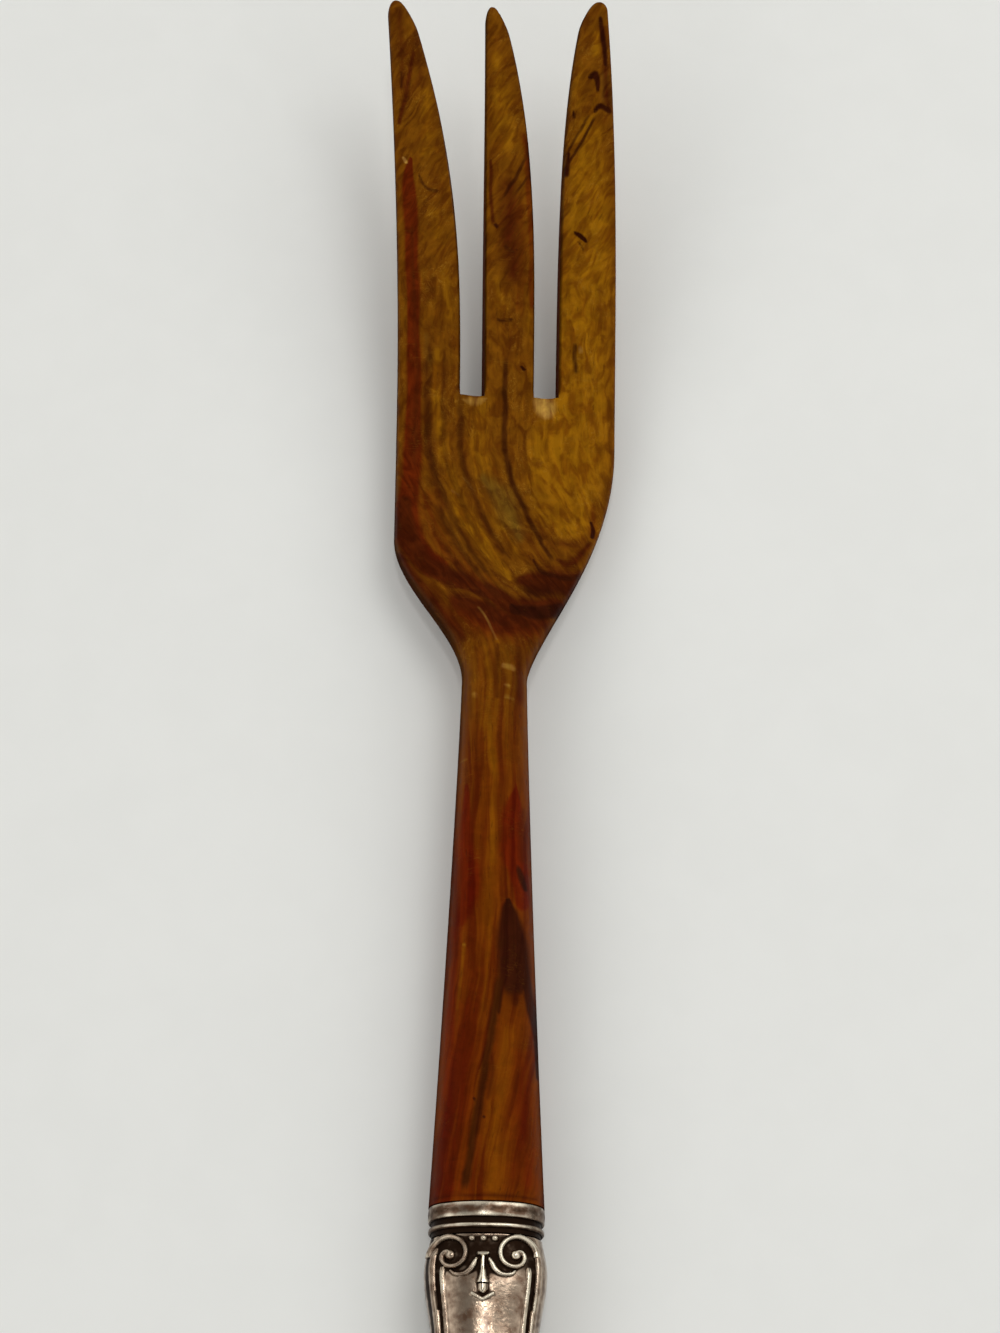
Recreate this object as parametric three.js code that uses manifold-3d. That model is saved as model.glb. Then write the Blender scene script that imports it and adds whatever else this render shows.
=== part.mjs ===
// Salad serving fork: a carved wooden head whose tenon is cemented into a hollow silver handle.
// Millimetres, +Z up. The fork lies on its back on the plane Z = 0, tines towards +Y, butt towards -Y.
import * as THREE from "three";
import { mergeVertices } from "three/addons/utils/BufferGeometryUtils.js";
import Module from "manifold-3d";

const wasm = await Module();
wasm.setup();

// Lengths of the wooden head
const SHANK_LENGTH = 72.5; // collar to the narrowest place of the neck
const BOWL_LENGTH = 42; // neck to the floor of the slots
const TINE_LENGTH = 53.5; // floor of the slots to the tip of the right tine, the longest
const LEFT_TINE_SHORTER = 1.5; // the left tine stops this much short of the right one
const MIDDLE_TINE_SHORTER = 0.8;
const TENON_LENGTH = 36; // hidden inside the handle

// Widths of the wooden head, seen from the front
const NECK_WIDTH = 8.75;
const BOWL_LEFT_REACH = 14.2; // centre line to the left edge of the bowl
const BOWL_RIGHT_REACH = 15.9;
const LEFT_SHOULDER_LENGTH = 21; // neck to full width; the right shoulder is the longer, softer one
const RIGHT_SHOULDER_LENGTH = 34.4;
const RIGHT_SHOULDER_SKEW = 0.74; // under 1 brings the right shoulder's widening nearer to the neck
const SHANK_FLARE = 1.2; // 1 widens the shank evenly towards the collar, and more widens it later

// Tines and slots
const SLOT_WIDTH = 3.45;
const LEFT_SLOT_X = -3.9;
const RIGHT_SLOT_X = 6.35;
const SIDE_TIP_WIDTH = 3;
const MIDDLE_TIP_WIDTH = 2.2;
const TIP_ROUNDING = 4; // length of a tip's round end
const LEFT_TIP_X = -15;
const MIDDLE_TIP_X = -1.55;
const RIGHT_TIP_X = 12.6;

// How an edge bows from its root to its tip: 1 is straight, and more keeps the tine broad for longer
const LEFT_OUTER_BOW = 1.8;
const LEFT_INNER_BOW = 2.75;
const MIDDLE_LEFT_BOW = 1;
const MIDDLE_RIGHT_BOW = 3.7;
const RIGHT_INNER_BOW = 4.4;
const RIGHT_OUTER_BOW = 3;

// Side profile of the wooden head
const NECK_THICKNESS = 8.4;
const BOWL_THICKNESS = 6.2;
const SLOT_THICKNESS = 4.9; // at the floor of the slots
const TIP_THICKNESS = 2.6;
const NECK_UNDERSIDE = 2.8; // height over the surface that the fork lies on
const BOWL_DROP = 2.8; // the bowl's back lies this far below the neck's
const BOWL_BOTTOM_FROM_NECK = 22.5; // place of the bowl's lowest point
const TINE_SLOPE = THREE.MathUtils.degToRad(21);
const TINE_BEND_LENGTH = 24; // over which the bowl turns up into that slope
const BOWL_CAMBER = 1.8; // how far the bowl's edges stand above its middle
const HEAD_TWIST = THREE.MathUtils.degToRad(6); // the carved head sits a little turned in the handle

// Silver collar with its bead ring
const COLLAR_WIDTH = 15.1;
const COLLAR_THICKNESS = 11;
const COLLAR_BAND_HEIGHT = 2.1;
const GROOVE_HEIGHT = 0.7;
const GROOVE_DEPTH = 0.4;
const BEAD_HEIGHT = 0.75;
const SPIGOT_LENGTH = 5; // the part of the collar that plugs into the handle
const SPIGOT_WALL = 0.5;

// Hollow silver handle
const HANDLE_LENGTH = 104; // top of the collar to the butt
const SHELL_WALL = 0.6;
const SHOULDER_WIDTH = 16; // just below the collar
const SHOULDER_THICKNESS = 11.2;
const SHOULDER_DROP = 4.5; // top of the shells to the shoulder
const FLANK_WIDTH = 13.9; // below the ornament
const FLANK_THICKNESS = 10.2;
const FLANK_DROP = 13;
const WAIST_WIDTH = 11.6;
const WAIST_THICKNESS = 8.6;
const WAIST_DROP = 40; // top of the shells to the waist
const PALM_WIDTH = 19.4; // the broad end that lies in the hand
const PALM_THICKNESS = 12.2;
const BUTT_LENGTH = 17; // from the palm's widest place to the end
const REST_FLAT_DEPTH = 0.25; // worn off the back of the palm, where the handle lies on the table

// Fits and finish
const FIT_GAP = 0.1; // taken up all round by solder or cement
const CEMENT_WALL = 1; // least cement between the tenon and the shells
const OVAL_POWER = 2.3; // of the handle's section: 2 is an ellipse, and more is squarer
const BOWL_POWER = 4.4; // of the bowl's section
const SECTION_POINTS = 28;

// Places along the fork
const WOOD_LENGTH = SHANK_LENGTH + BOWL_LENGTH + TINE_LENGTH;
const Y_BUTT = -(WOOD_LENGTH + HANDLE_LENGTH) / 2;
const Y_COLLAR = Y_BUTT + HANDLE_LENGTH;
const Y_NECK = Y_COLLAR + SHANK_LENGTH;
const Y_SLOT = Y_NECK + BOWL_LENGTH;
const Y_TIP = Y_SLOT + TINE_LENGTH;
const Y_LEFT_TIP = Y_TIP - LEFT_TINE_SHORTER;
const Y_MIDDLE_TIP = Y_TIP - MIDDLE_TINE_SHORTER;
const Y_BOWL_BOTTOM = Y_NECK + BOWL_BOTTOM_FROM_NECK;
const COLLAR_STACK = COLLAR_BAND_HEIGHT + 2 * GROOVE_HEIGHT + BEAD_HEIGHT; // band, groove, bead, groove
const Y_SHELL_TOP = Y_COLLAR - COLLAR_STACK;
const Y_SPIGOT_END = Y_SHELL_TOP - SPIGOT_LENGTH;
const SHELL_LENGTH = Y_SHELL_TOP - Y_BUTT;
const PALM_DROP = SHELL_LENGTH - BUTT_LENGTH;

// The handle's axis lies as high as its thickest place needs
const AXIS_Z = Math.max(PALM_THICKNESS / 2 - REST_FLAT_DEPTH, SHOULDER_THICKNESS / 2, COLLAR_THICKNESS / 2);

const { clamp, lerp, smoothstep } = THREE.MathUtils;

// Evenly spaced numbers from one place to another, both included.
function steps(from, to, count) {
  return Array.from({ length: count + 1 }, (_, i) => lerp(from, to, i / count));
}

// A smooth curve through [place, value] pairs, read off at any place. It turns only at the pairs, so
// the least and the greatest value are among theirs.
function curveThrough(pairs) {
  const rise = pairs.slice(1).map(([x, v], i) => (v - pairs[i][1]) / (x - pairs[i][0]));
  const slope = pairs.map((_, i) => {
    const before = rise[Math.max(i - 1, 0)];
    const after = rise[Math.min(i, rise.length - 1)];
    return before * after > 0 ? (2 * before * after) / (before + after) : 0;
  });
  return (place) => {
    const next = pairs.findIndex(([x]) => x > place);
    const i = next < 0 ? pairs.length - 2 : Math.max(next - 1, 0);
    const [[x0, v0], [x1, v1]] = [pairs[i], pairs[i + 1]];
    const t = clamp((place - x0) / (x1 - x0), 0, 1);
    const leaving = t * (1 - t) * (1 - t) * slope[i];
    const arriving = t * t * (t - 1) * slope[i + 1];
    return lerp(v0, v1, smoothstep(t, 0, 1)) + (x1 - x0) * (leaving + arriving);
  };
}

// An oval ring of points in the plane at y: between an ellipse and a rectangle, as its power says.
// A camber lifts the ring's edges above its middle by that much.
function ovalRing({ y, left, right, z, halfThick, power = OVAL_POWER, camber = 0 }) {
  const middle = (left + right) / 2;
  const halfWidth = (right - left) / 2;
  const squared = (v) => Math.sign(v) * Math.abs(v) ** (2 / power);
  return Array.from({ length: SECTION_POINTS }, (_, i) => {
    const angle = (2 * Math.PI * i) / SECTION_POINTS;
    const across = squared(Math.cos(angle));
    const up = halfThick * squared(Math.sin(angle)) + camber * across ** 2;
    return new THREE.Vector3(middle + halfWidth * across, y, z + up);
  });
}

// The same, centred on the handle's axis.
function axisRing(y, halfWidth, halfThick) {
  return ovalRing({ y, left: -halfWidth, right: halfWidth, z: AXIS_Z, halfThick });
}

// Joins neighbouring rings with triangles. An open loft is capped at both ends; a closed one is a hoop.
function loft(rings, closed = false) {
  const count = rings[0].length;
  const points = rings.flat();
  const index = [];
  const links = closed ? rings.length : rings.length - 1;
  for (let r = 0; r < links; r++) {
    const near = r * count;
    const far = ((r + 1) % rings.length) * count;
    for (let i = 0; i < count; i++) {
      const j = (i + 1) % count;
      index.push(near + i, near + j, far + j, near + i, far + j, far + i);
    }
  }
  if (!closed) {
    const last = (rings.length - 1) * count;
    const centre = (ring) => ring.reduce((sum, p) => sum.add(p), new THREE.Vector3()).divideScalar(count);
    points.push(centre(rings[0]), centre(rings[rings.length - 1]));
    for (let i = 0; i < count; i++) {
      const j = (i + 1) % count;
      index.push(points.length - 2, j, i, points.length - 1, last + i, last + j);
    }
  }
  return new THREE.BufferGeometry().setFromPoints(points).setIndex(index);
}

// A closed geometry as a solid that can be joined and cut. A loft that runs the other way comes out
// inside out, so it is turned round.
function solid(geometry) {
  const bare = geometry.clone();
  bare.deleteAttribute("normal");
  bare.deleteAttribute("uv");
  const merged = mergeVertices(bare, 1e-4);
  const vertProperties = merged.getAttribute("position").array;
  const triVerts = new Uint32Array(merged.index.array);
  const made = new wasm.Manifold(new wasm.Mesh({ numProp: 3, vertProperties, triVerts }));
  if (made.volume() > 0) return made;
  return new wasm.Manifold(new wasm.Mesh({ numProp: 3, vertProperties, triVerts: triVerts.reverse() }));
}

// A solid back as a three.js geometry.
function geometryOf(made) {
  const { vertProperties, triVerts } = made.getMesh();
  const geometry = new THREE.BufferGeometry();
  geometry.setAttribute("position", new THREE.BufferAttribute(vertProperties, 3));
  geometry.setIndex(new THREE.BufferAttribute(triVerts, 1));
  geometry.computeVertexNormals();
  return geometry;
}

// A block wider and longer than the fork, between two heights, for cutting along a level plane.
function slab(low, high) {
  const reach = 2 * (WOOD_LENGTH + HANDLE_LENGTH);
  return solid(new THREE.BoxGeometry(reach, reach, high - low).translate(0, 0, (low + high) / 2));
}

const belowTheTable = slab(-AXIS_Z, 0);

// Form of the hollow handle, by the drop below the top of its shells
const mouthWidth = COLLAR_WIDTH - 2 * GROOVE_DEPTH + 2 * FIT_GAP;
const mouthThickness = COLLAR_THICKNESS - 2 * GROOVE_DEPTH + 2 * FIT_GAP;
const handleWidth = curveThrough([
  [0, mouthWidth],
  [SHOULDER_DROP, SHOULDER_WIDTH],
  [FLANK_DROP, FLANK_WIDTH],
  [WAIST_DROP, WAIST_WIDTH],
  [PALM_DROP, PALM_WIDTH],
  [SHELL_LENGTH, PALM_WIDTH],
]);
const handleThickness = curveThrough([
  [0, mouthThickness],
  [SHOULDER_DROP, SHOULDER_THICKNESS],
  [FLANK_DROP, FLANK_THICKNESS],
  [WAIST_DROP, WAIST_THICKNESS],
  [PALM_DROP, PALM_THICKNESS],
  [SHELL_LENGTH, PALM_THICKNESS],
]);

// The handle's section at a drop, set in by the inset and drawn in past the palm to a round butt.
function handleRing(drop, inset) {
  const intoButt = clamp((drop - PALM_DROP) / (BUTT_LENGTH - inset), 0, 0.999);
  const rounding = Math.sqrt(1 - intoButt ** 2);
  const halfWidth = (handleWidth(drop) / 2 - inset) * rounding;
  const halfThick = (handleThickness(drop) / 2 - inset) * rounding;
  return axisRing(Y_SHELL_TOP - drop, halfWidth, halfThick);
}

// The handle's form from a drop to the butt, with all its faces set in by the inset.
function handleForm(fromDrop, inset) {
  const spigotDrop = SHOULDER_DROP + SPIGOT_LENGTH;
  const buttShares = [0.25, 0.5, 0.7, 0.84, 0.93, 0.98, 1];
  const drops = [
    ...steps(fromDrop, spigotDrop, 6),
    ...steps(spigotDrop, PALM_DROP, 16).slice(1),
    ...buttShares.map((share) => lerp(PALM_DROP, SHELL_LENGTH - inset, share)),
  ];
  return solid(loft(drops.map((drop) => handleRing(drop, inset))));
}

// Wooden head: its edges, seen from the front

function shankHalfWidth(y) {
  const share = clamp((Y_NECK - y) / SHANK_LENGTH, 0, 1);
  return lerp(NECK_WIDTH / 2, COLLAR_WIDTH / 2, share ** SHANK_FLARE);
}

const leftTip = { tipX: LEFT_TIP_X, yTip: Y_LEFT_TIP, tipWidth: SIDE_TIP_WIDTH };
const middleTip = { tipX: MIDDLE_TIP_X, yTip: Y_MIDDLE_TIP, tipWidth: MIDDLE_TIP_WIDTH };
const rightTip = { tipX: RIGHT_TIP_X, yTip: Y_TIP, tipWidth: SIDE_TIP_WIDTH };

// The x of a tine's edge at y, bowed from its root to its tip and drawn in to the tip's round end.
function tineEdge(y, { root, tipX, yTip, tipWidth, side, bow }) {
  const share = clamp((y - Y_SLOT) / (yTip - Y_SLOT), 0, 1);
  const edge = lerp(root, tipX + (side * tipWidth) / 2, share ** bow);
  const intoRounding = clamp((y - yTip + TIP_ROUNDING) / TIP_ROUNDING, 0, 0.98);
  return tipX + (edge - tipX) * Math.sqrt(1 - intoRounding ** 2);
}

// Places along a tip's round end, after its start, for a tine that stops at yTip.
function tipSteps(yTip) {
  return [0.6, 0.3, 0.1, 0].map((share) => yTip - share * TIP_ROUNDING);
}

function leftEdge(y) {
  const shoulder = smoothstep(y, Y_NECK, Y_NECK + LEFT_SHOULDER_LENGTH);
  const root = -lerp(shankHalfWidth(y), BOWL_LEFT_REACH, shoulder);
  return y < Y_SLOT ? root : tineEdge(y, { ...leftTip, root, side: -1, bow: LEFT_OUTER_BOW });
}

function rightEdge(y) {
  const share = clamp((y - Y_NECK) / RIGHT_SHOULDER_LENGTH, 0, 1);
  const shoulder = smoothstep(share ** RIGHT_SHOULDER_SKEW, 0, 1);
  const root = lerp(shankHalfWidth(y), BOWL_RIGHT_REACH, shoulder);
  return y < Y_SLOT ? root : tineEdge(y, { ...rightTip, root, side: 1, bow: RIGHT_OUTER_BOW });
}

// Wooden head: its side profile

function underside(y) {
  const shank = lerp(AXIS_Z - COLLAR_THICKNESS / 2, NECK_UNDERSIDE, smoothstep(y, Y_COLLAR, Y_NECK));
  const bowl = shank - BOWL_DROP * smoothstep(y, Y_NECK, Y_BOWL_BOTTOM);
  const along = Math.max(y - Y_BOWL_BOTTOM, 0);
  const bend = TINE_BEND_LENGTH * (1 - Math.exp(-along / TINE_BEND_LENGTH));
  return bowl + Math.tan(TINE_SLOPE) * (along - bend);
}

const woodThickness = curveThrough([
  [Y_COLLAR, COLLAR_THICKNESS],
  [Y_NECK, NECK_THICKNESS],
  [Y_BOWL_BOTTOM, BOWL_THICKNESS],
  [Y_SLOT, SLOT_THICKNESS],
  [Y_TIP, TIP_THICKNESS],
]);

const middleHeight = (y) => underside(y) + woodThickness(y) / 2;

function headRing(y) {
  const intoBowl = smoothstep(y, Y_NECK, Y_BOWL_BOTTOM);
  return ovalRing({
    y,
    left: leftEdge(y),
    right: rightEdge(y),
    z: middleHeight(y),
    halfThick: woodThickness(y) / 2,
    power: lerp(OVAL_POWER, BOWL_POWER, intoBowl),
    camber: BOWL_CAMBER * intoBowl,
  });
}

// The tenon fills the collar's bore, and keeps its wall of cement where the handle narrows below it.
const boreInset = GROOVE_DEPTH + SHELL_WALL + SPIGOT_WALL;

function tenonRing(y, clearance) {
  const drop = Y_SHELL_TOP - y;
  const cover = SHELL_WALL + CEMENT_WALL + 2 * FIT_GAP;
  const fitted = (collarSize, handleSize) => {
    const inBore = collarSize / 2 - boreInset - FIT_GAP;
    const inCement = handleSize(drop) / 2 - cover;
    return clearance + (y < Y_SPIGOT_END ? Math.min(inBore, inCement) : inBore);
  };
  return axisRing(y, fitted(COLLAR_WIDTH, handleWidth), fitted(COLLAR_THICKNESS, handleThickness));
}

// The outline of all that is cut away between and beyond the tines, seen from the front.
function tineGaps() {
  const half = SLOT_WIDTH / 2;
  const leftInner = { ...leftTip, root: LEFT_SLOT_X - half, side: 1, bow: LEFT_INNER_BOW };
  const middleLeft = { ...middleTip, root: LEFT_SLOT_X + half, side: -1, bow: MIDDLE_LEFT_BOW };
  const middleRight = { ...middleTip, root: RIGHT_SLOT_X - half, side: 1, bow: MIDDLE_RIGHT_BOW };
  const rightInner = { ...rightTip, root: RIGHT_SLOT_X + half, side: -1, bow: RIGHT_INNER_BOW };
  const upwards = (edge) =>
    [...steps(Y_SLOT, edge.yTip - TIP_ROUNDING, 18), ...tipSteps(edge.yTip)].map(
      (y) => new THREE.Vector2(tineEdge(y, edge), y),
    );
  const downwards = (edge) => upwards(edge).reverse();
  const beyond = Y_TIP + TIP_ROUNDING;
  const outside = LEFT_TIP_X - BOWL_LEFT_REACH;
  return new THREE.Shape([
    ...upwards(leftInner),
    new THREE.Vector2(outside, Y_LEFT_TIP),
    new THREE.Vector2(outside, beyond),
    new THREE.Vector2(tineEdge(Y_TIP, rightInner), beyond),
    ...downwards(rightInner),
    ...upwards(middleRight),
    ...downwards(middleLeft),
  ]);
}

// Turns the head about its own middle line: not at all at the collar, and fully from the neck on.
function twistHead(geometry) {
  const position = geometry.getAttribute("position");
  for (let i = 0; i < position.count; i++) {
    const y = position.getY(i);
    const turn = HEAD_TWIST * smoothstep(y, Y_COLLAR, Y_NECK);
    const x = position.getX(i);
    const up = position.getZ(i) - middleHeight(y);
    position.setX(i, x * Math.cos(turn) + up * Math.sin(turn));
    position.setZ(i, middleHeight(y) - x * Math.sin(turn) + up * Math.cos(turn));
  }
  return geometry;
}

function forkHead() {
  const tenon = [...steps(Y_COLLAR - TENON_LENGTH, Y_SPIGOT_END, 6), Y_COLLAR].map((y) => tenonRing(y, 0));
  const wood = [
    ...steps(Y_COLLAR, Y_NECK, 14),
    ...steps(Y_NECK, Y_BOWL_BOTTOM, 16).slice(1),
    ...steps(Y_BOWL_BOTTOM, Y_LEFT_TIP - TIP_ROUNDING, 22).slice(1),
    ...tipSteps(Y_LEFT_TIP),
    ...tipSteps(Y_TIP),
  ];
  const rings = [...new Set(wood)].sort((a, b) => a - b).map(headRing);
  const blank = solid(loft([...tenon, ...rings]));
  const tallest = middleHeight(Y_TIP) + NECK_THICKNESS + BOWL_CAMBER;
  const cutter = new THREE.ExtrudeGeometry(tineGaps(), { depth: 2 * tallest, bevelEnabled: false });
  const forked = blank.subtract(solid(cutter.translate(0, 0, -tallest / 2)));
  return geometryOf(solid(twistHead(geometryOf(forked))).subtract(belowTheTable));
}

// Silver collar: a hoop whose section is carried round the oval. Each pair is how far the point lies
// inside the collar's outer face, and how far it lies below the collar's top.
function collarHoop(section) {
  const rings = section.map(([inset, drop]) =>
    axisRing(Y_COLLAR - drop, COLLAR_WIDTH / 2 - inset, COLLAR_THICKNESS / 2 - inset),
  );
  return geometryOf(solid(loft(rings, true)));
}

function ferruleCollar() {
  const spigotInset = GROOVE_DEPTH + SHELL_WALL;
  const seatEnd = COLLAR_STACK - FIT_GAP;
  const spigotEnd = COLLAR_STACK + SPIGOT_LENGTH;
  return collarHoop([
    [0, FIT_GAP],
    [0, COLLAR_BAND_HEIGHT],
    [GROOVE_DEPTH, COLLAR_BAND_HEIGHT],
    [GROOVE_DEPTH, seatEnd],
    [spigotInset, seatEnd],
    [spigotInset, spigotEnd],
    [boreInset, spigotEnd],
    [boreInset, FIT_GAP],
  ]);
}

function collarBeadRing() {
  const top = COLLAR_BAND_HEIGHT + GROOVE_HEIGHT;
  const inner = GROOVE_DEPTH - FIT_GAP;
  const halfRound = steps(0, Math.PI, 6);
  return collarHoop(
    halfRound.map((turn) => [
      inner * (1 - Math.sin(turn)),
      top + (BEAD_HEIGHT * (1 - Math.cos(turn))) / 2,
    ]),
  );
}

// Front and back shell: the halves of one hollow form, met along a level seam
const hollowHandle = handleForm(0, 0)
  .subtract(handleForm(-SPIGOT_LENGTH, SHELL_WALL))
  .subtract(belowTheTable);
const handleFrontShell = hollowHandle.intersect(slab(AXIS_Z + FIT_GAP / 2, 3 * AXIS_Z));
const handleBackShell = hollowHandle.intersect(slab(-AXIS_Z, AXIS_Z - FIT_GAP / 2));

// Cement that fills the handle below the collar's spigot, with the tenon's socket in it
function cementFill() {
  const filling = handleForm(SPIGOT_LENGTH + FIT_GAP, SHELL_WALL + FIT_GAP);
  const socketEnd = Y_COLLAR - TENON_LENGTH - FIT_GAP;
  const socket = [...steps(socketEnd, Y_SPIGOT_END, 6), Y_SHELL_TOP].map((y) => tenonRing(y, FIT_GAP));
  return geometryOf(filling.subtract(solid(loft(socket))));
}

// Finishes
const oiledWood = new THREE.MeshStandardMaterial({ color: 0x9a5f16, roughness: 0.5, metalness: 0 });
const tarnishedSilver = new THREE.MeshStandardMaterial({ color: 0xb9aca0, roughness: 0.3, metalness: 1 });
const greyCement = new THREE.MeshStandardMaterial({ color: 0x8d867a, roughness: 0.9, metalness: 0 });

// The fork
const fork = new THREE.Group();
const pieces = [
  ["fork_head", forkHead(), oiledWood],
  ["ferrule_collar", ferruleCollar(), tarnishedSilver],
  ["collar_bead_ring", collarBeadRing(), tarnishedSilver],
  ["handle_front_shell", geometryOf(handleFrontShell), tarnishedSilver],
  ["handle_back_shell", geometryOf(handleBackShell), tarnishedSilver],
  ["cement_fill", cementFill(), greyCement],
];
for (const [name, geometry, material] of pieces) {
  const piece = new THREE.Mesh(geometry, material);
  piece.name = name;
  fork.add(piece);
}

export default fork;
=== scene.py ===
"""Salad serving fork: a carved olive-wood head set in a hollow, tarnished silver handle.

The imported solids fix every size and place. Each visible piece is worked out again here as a fine surface,
given its finish, and set on the same body. Lengths are millimetres until a mesh is made.
"""

import logging
import math
from collections.abc import Callable, Sequence
from dataclasses import dataclass, field
from enum import Enum

import bmesh
import bpy
import numpy as np
from mathutils import Matrix, Vector


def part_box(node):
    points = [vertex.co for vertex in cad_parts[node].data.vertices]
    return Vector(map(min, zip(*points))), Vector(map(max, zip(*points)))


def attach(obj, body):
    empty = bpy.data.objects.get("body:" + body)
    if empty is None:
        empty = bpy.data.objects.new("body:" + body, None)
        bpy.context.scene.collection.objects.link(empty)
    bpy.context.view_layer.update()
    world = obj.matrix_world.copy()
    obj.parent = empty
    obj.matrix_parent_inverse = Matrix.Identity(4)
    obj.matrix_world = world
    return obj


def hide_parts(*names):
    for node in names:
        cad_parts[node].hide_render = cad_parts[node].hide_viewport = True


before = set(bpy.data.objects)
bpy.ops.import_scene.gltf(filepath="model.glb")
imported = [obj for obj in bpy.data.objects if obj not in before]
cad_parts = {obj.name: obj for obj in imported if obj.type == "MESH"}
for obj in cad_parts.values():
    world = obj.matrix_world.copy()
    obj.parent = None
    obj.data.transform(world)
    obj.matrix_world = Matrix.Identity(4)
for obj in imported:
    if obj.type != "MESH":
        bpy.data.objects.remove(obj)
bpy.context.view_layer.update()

MM = 0.001
TINY = 1e-9
NOISE_MIDDLE = 0.5
BODY = "root"
PHOTO_WIDTH, PHOTO_HEIGHT = 1000, 1333

Array = np.ndarray
Socket = bpy.types.NodeSocket
Colour = tuple[float, float, float]
Pair = tuple[float, float]
Triple = tuple[float, float, float]
Line = tuple[Triple, ...]
log = logging.getLogger("fork")


# Curves and small formulas


def lerp(low: Array | float, high: Array | float, share: Array | float) -> Array:
    """A value part of the way from low to high."""
    return low + (high - low) * share


def smooth(share: Array | float) -> Array:
    """A share eased at both ends: three squares less two cubes, held between 0 and 1."""
    held = np.clip(share, 0, 1)
    return held * held * (3 - 2 * held)


def ramp(value: Array | float, start: float, end: float) -> Array:
    """How far a value has come from start to end, eased at both."""
    return smooth((np.asarray(value) - start) / (end - start))


def signed_power(value: Array, power: Array | float) -> Array:
    """A power of the value's size, with the value's sign."""
    return np.sign(value) * np.abs(value) ** power


def spread(count: int) -> Array:
    """Shares from 0 to 1, closer at both ends: even ones averaged with those of a half turn's cosine."""
    even = np.linspace(0, 1, count + 1)
    return (even + (1 - np.cos(math.pi * even)) / 2) / 2


def curve_through(pairs: Sequence[Pair]) -> Callable[[Array], Array]:
    """A smooth curve that turns only at the given pairs.

    Each stretch is a cubic whose end slopes are the harmonic means of the neighbouring chords.

    Args:
        pairs: Places with the values there, in order of place.

    Returns:
        A function that reads the curve off at an array of places.
    """
    place, value = np.array(pairs, float).T
    chord = np.diff(value) / np.diff(place)
    before, after = np.append(chord[0], chord), np.append(chord, chord[-1])
    product = before * after
    total = np.where(product > 0, before + after, 1)
    slope = np.where(product > 0, 2 * product / total, 0)

    def read(at: Array | float) -> Array:
        """The curve's values at the given places."""
        i = np.clip(np.searchsorted(place, at, side="right") - 1, 0, len(place) - 2)
        width = place[i + 1] - place[i]
        t = np.clip((at - place[i]) / width, 0, 1)
        leaving = t * (1 - t) ** 2 * slope[i]
        arriving = t**2 * (t - 1) * slope[i + 1]
        return lerp(value[i], value[i + 1], smooth(t)) + width * (leaving + arriving)

    return read


def oval(turn: Array, half_width: Array, half_thick: Array, power: Array | float) -> tuple[Array, Array]:
    """Points of an oval: the cosine and sine of the turn, each to the power of two over the oval's power.

    Args:
        turn: Angles, from 0 at the right to a half turn at the left, by way of the front.
        half_width: Reach to either side.
        half_thick: Reach to the front and to the back.
        power: 2 is an ellipse, and more is squarer.

    Returns:
        How far across and how far up each point lies.
    """
    across = half_width * signed_power(np.cos(turn), 2 / power)
    up = half_thick * signed_power(np.sin(turn), 2 / power)
    return across, up


# Each wave of a ripple: its waves across and along, its share of the lean, and its start
WAVES = ((0.83, 0.31, 1.0, 0.0), (-0.47, 0.71, 1.7, 1.3), (1.37, -0.19, 0.6, 2.9))
WAVE_REACH = 2.4


def ripple(x: Array, y: Array, length: float, lean: float = 0.0) -> Array:
    """Soft uneven waves between about -1 and 1: three sines whose lengths share no measure.

    Args:
        x: Places across.
        y: Places along.
        length: About how long a wave is.
        lean: Start of the first wave, so that two calls differ.

    Returns:
        The height of the waves.
    """
    k = 2 * math.pi / length
    waves = [
        np.sin(k * (across * x + along * y) + share * lean + start) for across, along, share, start in WAVES
    ]
    return sum(waves) / WAVE_REACH


def round_end(at: Array, end: float, length: float) -> Array:
    """A share that closes from 1 to 0 over the length before an end, as a quarter of an ellipse does."""
    return np.sqrt(1 - np.clip((at - end + length) / length, 0, 1) ** 2)


def nearness(x: Array, y: Array, points: Line) -> Array:
    """How far places lie from a line of varying width, as a share of its half width there.

    The line's points are rounded into a curve first. The gap to each short chord, over the chord's half
    width at the nearest place, is compared, and the least is kept.

    Args:
        x: Places across.
        y: Places along.
        points: The line's points, each with x, y and the half width.

    Returns:
        0 on the middle of the line, 1 on its edge, and more outside.
    """
    least_width, least_square = 0.04, 1e-12
    chords_per_stretch = 4
    knots = np.array(points, float)
    padded = np.concatenate([2 * knots[:1] - knots[1:2], knots, 2 * knots[-1:] - knots[-2:-1]])
    t = np.linspace(0, 1, chords_per_stretch + 1)[:, None]
    stretches = [
        0.5 * (2 * b + (c - a) * t + (2 * a - 5 * b + 4 * c - d) * t**2 + (3 * b - a - 3 * c + d) * t**3)
        for a, b, c, d in zip(padded, padded[1:], padded[2:], padded[3:])
    ]
    path = np.concatenate([stretch[:-1] for stretch in stretches] + [knots[-1:]])
    least = np.full(np.shape(x), np.inf)
    for (x0, y0, w0), (x1, y1, w1) in zip(path, path[1:]):
        dx, dy = x1 - x0, y1 - y0
        share = np.clip(((x - x0) * dx + (y - y0) * dy) / (dx * dx + dy * dy + least_square), 0, 1)
        gap = np.hypot(x - x0 - share * dx, y - y0 - share * dy)
        least = np.minimum(least, gap / np.maximum(lerp(w0, w1, share), least_width))
    return least


# Meshes


def added(name: str, data: bpy.types.ID) -> bpy.types.Object:
    """A new object in the scene, with the given mesh, lamp or camera."""
    thing = bpy.data.objects.new(name, data)
    bpy.context.scene.collection.objects.link(thing)
    return thing


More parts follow.
